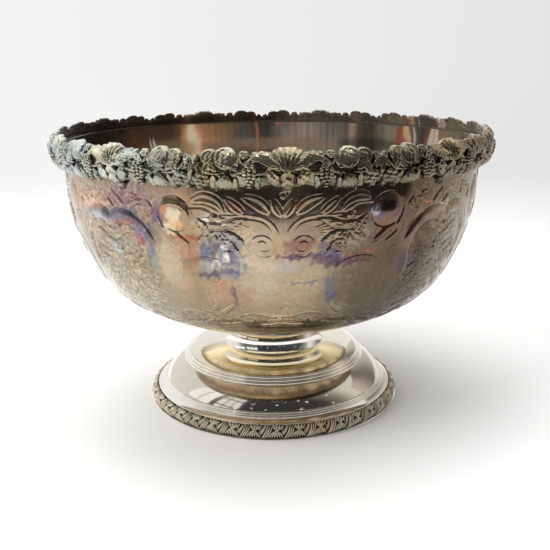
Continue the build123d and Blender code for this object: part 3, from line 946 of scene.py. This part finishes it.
def outside_tone(theta, z):
    """Colour of the film on the outside."""
    drift = waves(theta, z, 31, count=14, reach=34, tall=0.16)
    degrees = np.degrees(theta) + 0.7 * drift + 0.7 * waves(theta, z, 34, count=16, reach=220, tall=1.0)
    z = (z + 1.4 * waves(theta, z, 32, count=14, reach=34, tall=0.16)
         + 1.5 * waves(theta, z, 35, count=16, reach=220, tall=1.0))
    levels = sorted(TONES)
    place = np.interp(z, levels, range(len(levels)))[..., None]
    tone = 0
    for k, level in enumerate(levels):
        tone = tone + round_tone(TONES[level], degrees) * np.clip(1 - np.abs(place - k), 0, 1)
    return stained_and_lit(tone, degrees, z, STAINS_AND_PAINTED_LIGHT)


def inside_tone(theta, z):
    """Colour of the inside: streaks that run down the wall, with painted reflections and painted glints among
    them.
    """
    degrees = (np.degrees(theta) + 0.9 * waves(theta, z, 41, count=18, reach=40, tall=0.22)
               + 0.35 * waves(theta, z * 0.2, 43, count=18, reach=150, tall=0.05))
    streaks = 1 + 0.14 * waves(theta, z * 0.05, 42, count=22, reach=200, tall=0.02)
    tone = stained_and_lit(round_tone(INSIDE_FILM_AND_REFLECTIONS, degrees) * streaks[..., None], degrees, z, INSIDE_STREAKS_AND_GLINTS)
    tone = 0.84 * tone + 0.16 * tone.mean(-1, keepdims=True)
    tone = tone * (INSIDE_LIFT * np.interp(degrees, LIFT_ANGLES, LIFT_FACTORS))[..., None]
    depth = rise(z, 152, 34)[..., None]
    return np.clip(tone * depth + 0.93 * (1 - depth), 0.004, 0.97)


# ---------------------------------------------------------------- castings
class Cast:
    """Elements modelled over a curved ground: u along it, v up it and h out from it, in mm."""

    def __init__(self, place):
        self.place = place
        self.bag = Bag()
        self.level = []         # per point: 0 in the hollows to 1 on the ridges, -1 on lower faces

    def slab(self, u, v, top, bottom, shrink):
        """A closed piece between two faces, its lower face drawn in a little all round."""
        low, high = np.percentile(top, (4, 96))
        ridge = np.clip((top - low) / max(high - low, 0.4), 0, 1) * min(1, (high - low) / 0.7)
        self.level.append(np.concatenate([ridge.ravel(), np.full(top.size, -1.0)]))
        mu, mv = u.mean(), v.mean()
        upper = self.place(u, v, top)
        lower = self.place(mu + (u - mu) * shrink, mv + (v - mv) * shrink, bottom + 0 * top)
        index = np.arange(u.size).reshape(u.shape)
        edge = np.concatenate([index[0, :-1], index[:-1, -1], index[-1, :0:-1], index[:0:-1, 0]])
        after, under = np.roll(edge, -1), edge + index.size
        quads = np.vstack([grid_quads(index), grid_quads(index + index.size)[:, ::-1],
                           np.stack([after, edge, under, after + index.size], 1)])
        # Turn the faces over where the grid runs the other way round
        i, j = u.shape[0] // 2, u.shape[1] // 2
        across, along = upper[i, j + 1] - upper[i, j], upper[i + 1, j] - upper[i, j]
        out = self.place(u[i, j], v[i, j], top[i, j] + 1.0) - upper[i, j]
        if np.dot(np.cross(across, along), out) < 0:
            quads = quads[:, ::-1]
        self.bag.add(np.vstack([upper.reshape(-1, 3), lower.reshape(-1, 3)]), quads)

    def merged(self):
        """Points, quads and levels of all the pieces."""
        return [np.concatenate(parts) for parts in (self.bag.points, self.bag.quads, self.level)]

    def disc(self, u0, v0, size, profile, under=-0.8, turn=0.0, steps=13, shrink=0.9):
        """A round or oval piece; its profile is a function of distance (0 to 1) and angle."""
        a, b = np.meshgrid(np.linspace(-1, 1, steps), np.linspace(-1, 1, steps))
        x, y = a * np.sqrt(1 - b * b / 2), b * np.sqrt(1 - a * a / 2)
        far, angle = np.hypot(x, y).clip(0, 1), np.arctan2(y, x)
        c, s = math.cos(math.radians(turn)), math.sin(math.radians(turn))
        x, y = x * size[0], y * size[1]
        low = under(far) if callable(under) else under
        self.slab(u0 + x * c - y * s, v0 + x * s + y * c, profile(far, angle), low, shrink)

    def ball(self, u0, v0, h0, radius, steps=9):
        half = lambda far: radius * np.sqrt(np.clip(1 - far * far, 0.002, 1))
        self.disc(u0, v0, (radius, radius), lambda far, angle: h0 + half(far),
                  lambda far: h0 - half(far), steps=steps, shrink=1.0)

    def fan(self, u0, v0, reach, spread, profile, steps, under, turn=0.0):
        """A piece that opens from a point; reach and profile are functions of the fan's angle."""
        t, a = np.meshgrid(np.linspace(0.06, 1, steps[0]), np.linspace(-1, 1, steps[1]), indexing="ij")
        heading = np.radians(turn + a * spread)
        r = reach(a) * t
        self.slab(u0 + r * np.sin(heading), v0 + r * np.cos(heading), profile(t, a), under, 0.95)

    def leaf(self, points, width, height, base=0.6, lobes=0, rows=22, columns=11, cup=0.0,
             vein=0.35, tip=0.85, under=-0.8, lift=0.0):
        """A leaf or stem along a midrib; cup turns its edges up, lift raises its tip."""
        curve = smooth_curve(points, CAST_CURVE)
        run = run_length(curve)
        at = np.linspace(0, run[-1], rows)
        u, v = np.interp(at, run, curve[:, 0]), np.interp(at, run, curve[:, 1])
        du, dv = np.gradient(u), np.gradient(v)
        du, dv = (step[:, None] / np.hypot(du, dv)[:, None] for step in (du, dv))
        t = (at / run[-1])[:, None]
        s = np.linspace(-1, 1, columns)[None, :]
        half = width * (0.12 + 0.88 * np.sin(np.pi * (0.02 + 0.96 * t) ** tip) ** 0.7)
        if lobes:
            half = half * (0.74 + 0.26 * np.abs(np.sin(np.pi * lobes * t)) ** 0.7)
        crown = (1 - s * s) ** 0.7 * (1 - cup) + cup * s * s
        top = base + lift * t + height * crown - vein * np.exp(-(s / 0.16) ** 2)
        if lobes:
            top = top + 0.18 * height * np.cos(2 * np.pi * lobes * t - 2.5 * np.abs(s))
        self.slab(u[:, None] - dv * half * s, v[:, None] + du * half * s, top, under, 1.0)

    def flower(self, u0, v0, radius, petals, height, base=0.6, turn=0.0, steps=19):
        """Rounded petals round a button."""
        spin = math.radians(turn)

        def profile(far, angle):
            petal = np.abs(np.cos((angle + spin) * petals / 2))
            return (base + height * (0.3 + 0.7 * np.sin(np.pi * far * 0.8)) * (0.45 + 0.55 * petal ** 0.7)
                    - 0.5 * far ** 6)
        self.disc(u0, v0, (radius, radius), profile, steps=steps)
        self.ball(u0, v0, base + height * 0.55, radius * 0.3)


RIM_ARC = (162.9, 218.84)           # centre of the rim section's outer arc
RIM_ARC_RADIUS = 17.04
RIM_ARC_START = math.radians(-68.4)
RIM_RELIEF = 4.0                    # depth of the relief below the section's outer arc
RIM_SCALE = 176.0                   # radius at which u is true
GROUND_RADIUS = 168.2               # ground of the parts that hang down the bowl's side


def on_rim(u, v, h):
    """Rim casting's ground: up the outward-bulging section; v below 0 lies on the side."""
    u, v, h = np.broadcast_arrays(np.asarray(u, float), v, h)
    h = h + 0.22 * np.sin(1.3 * u + 0.8 * v) * np.sin(1.1 * v - 0.5 * u) + 0.12 * np.sin(2.3 * u - 1.9 * v)
    a = RIM_ARC_START + np.clip(v, 0, None) / RIM_ARC_RADIUS
    r_arc = RIM_ARC[0] + (RIM_ARC_RADIUS - RIM_RELIEF + h) * np.cos(a)
    z_arc = RIM_ARC[1] + (RIM_ARC_RADIUS - 0.3 * (RIM_RELIEF - h)) * np.sin(a)
    s = np.clip(v / 8, 0, 1)
    s = s * s * (3 - 2 * s)
    r = (1 - s) * (GROUND_RADIUS + h * 0.85) + s * r_arc
    z = (1 - s) * (204.1 + v * np.where(v > 0, 0.6, 1.0)) + s * z_arc
    r, z = np.minimum(r, RIM_RADIUS - 0.04), np.minimum(z, RIM_TOP - 0.04)
    return polar(r, u / RIM_SCALE, z)


def ribs(a, depth):
    """1 on a fan's eight ribs, less by the depth in the grooves between them."""
    return 1 - depth + depth * np.abs(np.cos(a * 3.5 * np.pi))


def rolled_edge(far, place, width, angle, reach):
    """1 on the rolled upper edge of a round leaf, fading towards its sides."""
    return np.exp(-((far - place) / width) ** 2) * np.clip(np.sin(angle) + reach, 0, 1)


GRAPE_ROWS = [(2, 3.3), (3, 3.1), (3, 3.0), (3, 2.8), (2, 2.8), (1, 0), (1, 0)]   # (count, spacing)


def rim_unit():
    """One cast length: a shell at its middle, vine leaves and grapes on both sides."""
    c = Cast(on_rim)
    end = math.pi / RIM_UNITS * RIM_SCALE - 0.03

    # Ground sheet: its top edge dips between the leaves, its lower edge is scalloped
    u = np.linspace(-end, end, 201)
    place = np.degrees(np.abs(u) / RIM_SCALE)
    top_edge = np.interp(place, [0, 4.5, 6.5, 7.6, 8.9, 10.2, 12.8, 14.8, 16.5, 18.3, 20],
                         [34.6, 33.2, 30.6, 31.0, 33.0, 29.4, 34.8, 30.2, 33.4, 29.6, 27.0])
    low_edge = 8.8 + 1.2 * np.cos(place * math.pi / 1.9)
    t = np.linspace(0, 1, 22)[:, None]
    v = low_edge + (top_edge - low_edge) * t
    ground = 0.35 * np.sin(u / 1.9 + v * 0.9) * np.sin(v / 1.5) + 0 * t
    c.slab(u + 0 * t, v, ground, -1.2, shrink=1.0)

    for side in (-1, 1):
        def path(*points):
            return [(side * x, y) for x, y in points]

        # Ribbed leaf that hangs under the vine leaf, with a drop on each side of it
        c.fan(side * 38.5, 19.5, lambda a: 15.0 * (1 - 0.20 * np.abs(a) ** 1.6) * ribs(a, 0.06), 40,
              lambda t, a: 1.4 + 1.5 * np.sin(np.pi * t * 0.8)
              + 0.8 * t * (1 - np.abs(np.sin(a * 3.5 * np.pi))) - 0.6 * np.abs(a) ** 3,
              turn=180 - side * 7, under=-0.6, steps=(16, 57))
        c.leaf(path((32.6, 16), (33.4, 9), (32.4, 2.4)), 2.3, 1.9, base=1.0, vein=0.2)
        c.leaf(path((46.2, 18), (47.6, 10), (46.6, 1.4)), 3.0, 1.8, base=0.9, lobes=2)
        c.leaf(path((17.0, 17), (19.4, 11.5), (18.4, 5.4)), 2.5, 1.5, base=0.8, lobes=2)

        # Ridged oval dome beside the pendant
        c.disc(side * 9.3, 15.6, (4.0, 6.9), lambda far, angle: 1.2 + 2.0 * np.sqrt(1 - far ** 2)
               + 0.5 * np.cos(3.1 * far * np.cos(angle - 0.9 * far) * math.pi) * far, turn=side * -20,
               steps=25, under=-0.6)
        c.leaf(path((5.6, 22.5), (9.4, 23.0), (13.6, 20.6)), 1.8, 2.0, base=1.6, vein=0, columns=9)

        # Bunch of grapes
        for row, (count, spacing) in enumerate(GRAPE_ROWS):
            for k in range(count):
                shift = (k - (count - 1) / 2) * spacing
                c.ball(side * (23.6 + shift + 0.15 * row), 23.4 - row * 2.5 + 0.6 * (k % 2),
                       2.2 - 0.12 * row, 1.75)

        # Stems and tendrils
        c.leaf(path((12, 20), (17, 18.4), (22, 18.8), (28, 19.4), (34, 18.4)), 1.5, 1.5, base=1.0, vein=0,
               rows=30, columns=9)
        c.leaf(path((42, 18.5), (48, 18.5), (53, 20.5), (57, 25)), 1.3, 1.5, base=1.0, vein=0, columns=9)
        c.leaf(path((27.5, 24), (29.6, 27.5), (28.4, 31.5)), 1.0, 1.3, base=1.2, vein=0, columns=7)

        # Broad smooth lobe of the shell, with two beads and a star on the edge above it
        c.leaf(path((4.0, 21.5), (10.5, 27.5), (17.5, 29.6), (22.6, 27.6)), 5.2, 2.5, base=1.3, cup=0.25,
               vein=0.0, rows=30, columns=15, tip=0.8, lift=0.2)
        c.leaf(path((18, 31), (23.5, 26.5), (27.5, 24.5)), 2.6, 1.8, base=1.2, vein=0.3)
        c.ball(side * 16.2, 32.6, 1.6, 1.8)
        c.ball(side * 20.6, 31.8, 1.6, 1.9)
        c.flower(side * 27.4, 31.2, 3.3, 5, 1.9, base=1.2, turn=20)

        # Vine leaf: a smooth dome with a rolled upper edge and a deep middle vein
        c.disc(side * 39.3, 29.2, (7.4, 8.7), lambda far, angle: 1.4 + 2.3 * np.sqrt(1 - far ** 2)
               + 1.5 * rolled_edge(far, 0.80, 0.13, angle, 0.35)
               - 0.7 * np.exp(-(np.cos(angle) * far / 0.09) ** 2) * (np.sin(angle) > -0.2),
               turn=side * -6, steps=25, under=-0.6)
        c.leaf(path((36, 22), (32.4, 25.5), (31.0, 30.5)), 3.0, 1.7, base=0.9, lobes=2, cup=0.3)

        # Curled leaves between the vine leaf and the rosette
        c.disc(side * 49.4, 29.6, (6.0, 6.2), lambda far, angle: 1.1 + 1.6 * np.sqrt(1 - far ** 2)
               + 1.7 * rolled_edge(far, 0.78, 0.15, angle + side * 0.5, 0.2), steps=21, under=-0.6)
        c.leaf(path((44.5, 20), (49, 24), (51.5, 21), (52.5, 15)), 3.0, 2.0, base=1.2, vein=0.3, cup=0.3)
        c.leaf(path((56.5, 21), (58.8, 26), (57.4, 31.5)), 2.9, 1.9, base=1.0, lobes=2)

        # Rosette near the end of the length
        c.flower(side * 54.6, 14.2, 5.9, 6, 2.2, base=1.1, turn=10, steps=23)
        c.leaf(path((56.5, 12), (57.4, 7), (56.2, 2.4)), 2.4, 1.5, base=0.8, lobes=2)

    # Pendant leaf under the shell
    c.leaf([(0, 21), (0, 12), (0, -2.6)], 5.0, 2.4, base=1.1, lobes=3, rows=36, columns=17, tip=0.62, cup=0.2)

    # Shell: sharp ridges between scooped flutes, opening from its hinge
    c.fan(0, 20.8, lambda a: 17.2 * (1 - 0.16 * np.abs(a) ** 2) * ribs(a, 0.04), 58,
          lambda t, a: 1.6 + 2.0 * np.sin(np.pi * t ** 0.8 * 0.72)
          + 1.7 * t ** 0.8 * (1 - np.abs(np.sin(a * 3.5 * np.pi))) - 0.5 * np.abs(a) ** 4,
          steps=(20, 99), under=-0.9)
    for turn in (-52, -16, 20, 56):
        lean = math.radians(turn)
        c.leaf([(1.5 * math.sin(lean), 20.5), (4.2 * math.sin(lean), 20.5 + 2.6 * math.cos(lean)),
                (6.4 * math.sin(lean), 21 + 4.6 * math.cos(lean))], 1.5, 1.6, base=2.6, rows=12, columns=7)

    # Curled leaf over the seam at one end
    c.leaf([(end - 3.2, 12), (end + 0.4, 20), (end + 0.2, 28)], 2.6, 1.9, base=1.0, lobes=2)
    return c


# Tones round the rim: pale at the left, olive in front, brown at the right, dark at the back left
CASTING_TONES = [(-175, (190, 195, 198)), (-150, (196, 202, 200)), (-125, (190, 192, 184)),
                 (-105, (172, 166, 148)), (-90, (172, 162, 140)), (-70, (138, 132, 116)),
                 (-50, (132, 122, 106)), (-20, (158, 140, 122)), (5, (150, 134, 118)), (40, (128, 120, 106)),
                 (75, (116, 108, 94)), (100, (98, 86, 66)), (130, (78, 62, 46)), (160, (62, 50, 42))]


def rim_tone(points, level):
    """Colour of the castings: a patchy tint, painted light that brightens them towards their tops, a painted
    highlight on the ridges and painted shade in the hollows; their backs take the inside wall's colours.
    """
    theta, z = np.arctan2(points[:, 1], points[:, 0]), points[:, 2]
    tone = round_tone(CASTING_TONES, np.degrees(theta))
    tone *= (1 + 0.22 * waves(theta, z, 51, count=12, reach=60, tall=0.3))[:, None]
    # Painted light: darker low down and much brighter at the top edges, as if lit from above
    tone *= np.interp(z, [203, 212, 222, 229, 232], [0.66, 0.74, 0.90, 1.3, 2.1])[:, None]
    patch = waves(theta, z, 52, count=14, reach=90, tall=0.5)[:, None]
    tone *= np.where(patch > 0, 1 - 0.13 * np.clip(patch, 0, 1.6) * (0.1, 0.5, 1.3),
                     1 + 0.08 * np.clip(patch, -1.6, 0) * (1.3, 0.5, 0.3))
    # Painted highlight on the ridges, painted shade in the hollows
    tone *= (0.42 + 0.80 * np.clip(level, 0, 1) ** 1.2)[:, None]
    back = level < 0
    # The backs take the inside wall's colours, which hold painted reflections and glints
    tone[back] = 0.55 * inside_tone(theta[back], z[back]) + 0.16 * tone[back] + (0.05, 0.045, 0.038)
    return np.clip(tone, 0.01, 0.97), back.astype(float)


def rim_castings():
    """The nine equal castings, and the band behind them."""
    points, quads, level = rim_unit().merged()
    for k in range(RIM_UNITS):
        bag = Bag()
        bag.add(spun(points, math.radians(RIM_FIRST_ANGLE + k * 360 / RIM_UNITS)), quads)
        tone, back = rim_tone(bag.points[0], level)
        bag.make(f"rim_casting_{k + 1}_foliage", "rim_castings", [f"rim_casting_{k + 1}"],
                 {"tone": tone, "recess": back})
    inner, top = BOWL_RADIUS - BOWL_WALL, LIP_HEIGHT + LIP_BAND_THICK
    band = [(inner, LIP_HEIGHT), (inner, LIP_HEIGHT + 0.9), (inner + 2.4, top),
            (LIP_BAND_OUTER, top), (LIP_BAND_OUTER, LIP_HEIGHT)]
    bag = Bag()
    bag.grid(around(subdivided(band, 3)), close_rows=True, close_columns=True)
    # Painted shade: the band behind the castings is darkened to 0.3 of their tone, so that it reads as a dark
    # gap
    tone = 0.3 * round_tone(CASTING_TONES, degrees_round(bag.points[0]))
    bag.make("lip_band_flat", "rim_castings", ["lip_band"], {"tone": tone, "recess": np.ones(bag.count)})


# ---------------------------------------------------------------- foot border
BORDER_ARC = (101.76, 4.77)         # centre of the border's outer arc
BORDER_ARC_RADIUS = 6.75
BORDER_ARC_START = math.radians(-29)
BORDER_RELIEF = 2.6
BORDER_SCALE = 107.0                # radius at which u is true


def on_border(u, v, h):
    """Foot border's ground: u along the edge, v from the base ring up to the skirt."""
    u, v, h = np.broadcast_arrays(np.asarray(u, float), v, h)
    a = BORDER_ARC_START + v / BORDER_ARC_RADIUS
    reach = BORDER_ARC_RADIUS - BORDER_RELIEF + h
    r = BORDER_ARC[0] + reach * np.cos(a)
    z = np.maximum(BORDER_ARC[1] + reach * np.sin(a), BASE_RING_THICK)
    return polar(np.minimum(r, FOOT_RADIUS), u / BORDER_SCALE, z)


def border_unit():
    """One pair of the border's leaves: a leaning leaf and a palmette."""
    c = Cast(on_border)
    for k in range(3):                  # leaning leaf: three ribs side by side
        c.leaf([(-4.6 + 1.75 * k, 13.3 - 0.5 * k), (-5.0 + 1.7 * k, 9.4), (-6.6 + 1.65 * k, 5.0),
                (-9.8 + 1.5 * k, -1.4)], 0.82, 2.2 - 0.2 * k, base=0.2, rows=18, columns=7, tip=1.0,
               under=-0.9, vein=0)
    for top, wide in (((-0.6, 12.8), 1.0), ((2.2, 13.3), 1.1), ((5.0, 12.8), 1.0), ((7.9, 12.0), 1.0)):
        c.leaf([(2.3, 7.0), (1.0 + 0.6 * top[0], 9.6), top], wide, 1.9, base=0.4, rows=14, columns=7,
               under=0.0, vein=0.2, tip=1.6)
    for foot_u in (-4.4, -1.9, 0.5, 2.8, 5.2, 7.4):
        c.leaf([(2.4, 7.4), (2.4 + 0.5 * (foot_u - 2.4), 5.0), (foot_u, -1.2)], 0.78, 1.7, base=0.2, rows=14,
               columns=7, under=-0.9, vein=0, tip=1.1)
    for k in range(2):                  # curled tip that fills the gap before the next leaf
        c.leaf([(6.0 + 0.8 * k, 4.4 - 1.6 * k), (8.4 + 0.7 * k, 7.4 - k), (10.2 + 0.5 * k, 10.8 - 0.8 * k),
                (10.4 + 1.3 * k, 13.2)], 0.8, 1.5, base=0.3, rows=14, columns=7, tip=0.9, under=-0.4, vein=0)
    c.ball(2.3, 7.4, 1.4, 1.1, steps=7)
    c.ball(6.8, 8.4, 0.6, 0.9, steps=7)
    return c


def foot_border():
    """The border's two half rings: a ground sheet with a row of leaf pairs on it."""
    unit = border_unit().merged()
    ground = Cast(on_border)
    u = np.linspace(0.02, math.pi * BORDER_SCALE - 0.02, 361)
    v = -2.0 + 15.3 * np.linspace(0, 1, 12)[:, None] + 0 * u
    ground.slab(u + 0 * v, v, 0 * v, -2.6, shrink=1.0)
    places = (np.arange(BORDER_LEAVES // 2) + 0.5) * 2 * math.pi / BORDER_LEAVES
    for name, start in (("front", math.pi), ("rear", 0)):
        bag = Bag()
        levels = []
        for turn, (points, quads, level) in [(0, ground.merged())] + [(place, unit) for place in places]:
            bag.add(spun(points, start + turn), quads)
            levels.append(level)
        # Painted highlight on the leaves' ridges, painted shade on the ground and in the hollows between them
        shade = 0.13 + 0.95 * np.clip(np.concatenate(levels), 0, 1) ** 1.2
        tone = np.minimum(linear(246, 233, 214) * shade[:, None], 0.96)
        bag.make(f"foot_border_{name}_leaves", "foot_border", [f"foot_border_{name}"],
                 {"tone": tone, "recess": np.zeros(bag.count)})


# ---------------------------------------------------------------- stage
CAMERA_PLACE = (0.00195, -0.6674, 0.2884)     # metres
CAMERA_PITCH = 15.5                           # degrees below level
CAMERA_ROLL = -0.447
CAMERA_LENS = 52.14


def camera():
    data = bpy.data.cameras.new("camera")
    data.lens = CAMERA_LENS
    data.sensor_width = 36
    data.clip_start = 0.01
    made = placed("camera", data)
    turn = Matrix.Rotation(math.radians(90 - CAMERA_PITCH), 4, "X")
    turn = turn @ Matrix.Rotation(math.radians(CAMERA_ROLL), 4, "Z")
    made.matrix_world = Matrix.Translation(CAMERA_PLACE) @ turn
    bpy.context.scene.camera = made


def lamp(name, place, size, power):
    """A soft rectangular light aimed at the bowl; cards stand for it in reflections."""
    data = bpy.data.lights.new(name, "AREA")
    data.shape = "RECTANGLE"
    data.size, data.size_y = size
    data.energy = power
    made = placed(name, data)
    aim = Vector(place) - Vector((0, 0, BOARD_CENTRE))
    made.rotation_mode = "QUATERNION"
    made.rotation_quaternion = aim.to_track_quat("Z", "Y")
    made.location = place
    made.visible_glossy = False


def flat(name, quads):
    """Stage object made of separate four-cornered boards."""
    mesh = bpy.data.meshes.new(name)
    corners = [corner for quad in quads for corner in quad]
    mesh.from_pydata(corners, [], [range(k, k + 4) for k in range(0, len(corners), 4)])
    return placed(name, mesh)


def card(name, colour, quads):
    """Flat stage boards of one brightness that show only in reflections."""
    made = flat(name, quads)
    n = Nodes(name)
    n.tree.nodes.remove(n.shader)
    glow = n.node("Emission")
    glow.inputs["Color"].default_value = (*colour, 1)
    n.link(glow.outputs[0], n.tree.nodes["Material Output"].inputs[0])
    made.data.materials.append(n.material)
    made.visible_camera = False
    made.visible_diffuse = False
    made.visible_shadow = False


BOARD_DISTANCE = 2.6        # metres from the bowl
BOARD_CENTRE = 0.1          # height on the bowl that boards and lamps face


def board(azimuth, elevation, wide, tall):
    """Corners of an upright-facing board, seen from the bowl in the given direction."""
    corners = []
    for i, j in ((-1, -1), (1, -1), (1, 1), (-1, 1)):
        a, e = math.radians(azimuth + i * wide / 2), math.radians(elevation + j * tall / 2)
        x, y, z = math.cos(a) * math.cos(e), math.sin(a) * math.cos(e), math.sin(e)
        corners.append((BOARD_DISTANCE * x, BOARD_DISTANCE * y, BOARD_DISTANCE * z + BOARD_CENTRE))
    return corners


def pale(n, direction):
    """Backdrop colour that dims a little towards the right."""
    split = n.node("SeparateXYZ")
    n.link(direction, split.inputs[0])
    side = n.spread(split.outputs["X"], -0.34, 0.34)
    return n.mix(side, (0.915, 0.922, 0.905, 1), (0.775, 0.782, 0.765, 1))


class WorldNodes(Nodes):
    """The same short-hand for the world's node tree."""

    def __init__(self, name):
        self.world = bpy.data.worlds.new(name)
        self.world.use_nodes = True
        self.tree = self.world.node_tree


def floor():
    """Pale paper that melts into the backdrop's colour away from the bowl, so it has no edge."""
    made = flat("floor", [[(-14, -14, 0), (14, -14, 0), (14, 14, 0), (-14, 14, 0)]])
    n = Nodes("floor_paper")
    place = n.node("TexCoord").outputs["Object"]
    away = n.node("VectorMath", operation="LENGTH")
    n.link(place, away.inputs[0])
    fade = n.math("POWER", n.spread(away.outputs["Value"], 0.30, 1.5), 0.8)
    toward = n.node("VectorMath", operation="NORMALIZE")
    n.link(place, toward.inputs[0])
    grain = n.spread(n.noise(3, 2), 0.3, 0.7)
    n.link(n.mix(grain, (0.84, 0.84, 0.83, 1), (0.86, 0.86, 0.85, 1)), n.shader.inputs["Base Color"])
    n.shader.inputs["Roughness"].default_value = 0.7
    n.shader.inputs["Specular IOR Level"].default_value = 0.2
    glow = n.node("Emission")
    n.link(pale(n, toward.outputs[0]), glow.inputs["Color"])
    blend = n.node("MixShader")
    n.link(fade, blend.inputs[0])
    n.link(n.shader.outputs[0], blend.inputs[1])
    n.link(glow.outputs[0], blend.inputs[2])
    n.link(blend.outputs[0], n.tree.nodes["Material Output"].inputs[0])
    made.data.materials.append(n.material)


def surround():
    """World: a pale backdrop to the eye; to the metal, a bright wall behind and a dim room in front."""
    w = WorldNodes("surround")
    bpy.context.scene.world = w.world
    toward = w.node("TexCoord").outputs["Generated"]
    split = w.node("SeparateXYZ")
    w.link(toward, split.inputs[0])
    room = w.ramp(w.spread(split.outputs["Y"], -1, 1), [
        (0.00, (0.034, 0.038, 0.050)), (0.30, (0.060, 0.060, 0.062)), (0.43, (0.32, 0.30, 0.27)),
        (0.54, (0.80, 0.80, 0.78)), (1.00, (0.92, 0.92, 0.91))])
    seen = w.node("LightPath").outputs["Is Camera Ray"]
    w.link(w.mix(seen, room, pale(w, toward)), w.tree.nodes["Background"].inputs[0])


def room_cards():
    """What the metal reflects of the room, as boards at (azimuth, elevation, width, height)."""
    # The table ends in front of the bowl, and beyond it the room is dark
    near = [(-0.52, -0.78), (-0.05, -0.655), (0.33, -0.58), (0.60, -0.27)]
    far = [(-3.4, -3.1), (0, -6), (4, -5), (6, -1.4)]
    card("dark_floor", (0.024, 0.028, 0.032), [
        [(*p, 0.002) for p in (near[k], far[k], far[k + 1], near[k + 1])] for k in range(3)])
    # Tall window at the front left in nine panes, a smaller one further round, and rows of lamps
    card("window", (0.95, 0.97, 0.93),
         [board(-152 + 9.5 * k, e, 8.2, 15) for k in range(3) for e in (22, 39, 56)])
    card("side_window", (1.15, 1.16, 1.18), [board(176 + 15 * k, 34, 13, 34) for k in range(2)])
    card("garden", (0.16, 0.19, 0.11), [board(-143, 8, 30, 11)])
    draw = np.random.default_rng(5)
    for name, colour, low, high in (("low_lamps", (6.0, 5.8, 5.2), 2, 38),
                                    ("high_lamps", (9.0, 8.8, 8.2), 40, 76)):
        card(name, colour, [board(a + draw.uniform(-5, 5), draw.uniform(low, high), 1.3, 0.7)
                            for a in np.linspace(-135, -20, 20)])
    card("skylight", (5.0, 5.0, 4.8), [board(a, e, 22, 5) for a, e in (
        (-150, 73), (-118, 77), (-88, 73), (-62, 78), (-32, 73), (-100, 84), (60, 82))])
    for k, level in enumerate(0.44 + 0.22 * np.cos(np.linspace(0, 2 * math.pi, 18))):
        card(f"side_room_{k + 1}", (level, 0.93 * level, 0.88 * level),
             [board(12 + 3.2 * k, 16 + 0.35 * k, 3.3, 30 + 0.7 * k)])


# ---------------------------------------------------------------- build
MATERIALS = {
    "bowl_plate": tarnished_silver("bowl_plate"),
    "foot_plate": polished_silver("foot_plate"),
    "foot_wires": polished_silver("foot_wires"),
    "rim_castings": cast_silver("rim_castings", depth=0.0030, shine=(0.03, 0.09), dull=0.11),
    "foot_border": cast_silver("foot_border", depth=0.0010, shine=(0.05, 0.14), dull=0.32),
}
camera()
bowl()
rim_castings()
foot_pieces()
foot_border()
floor()
surround()
room_cards()
lamp("window_light", (-1.7, -0.9, 1.7), (1.6, 1.6), 58)
lamp("ceiling_light", (0.1, 0.3, 2.2), (2.2, 1.6), 42)

bpy.context.scene.view_settings.view_transform = "Standard"
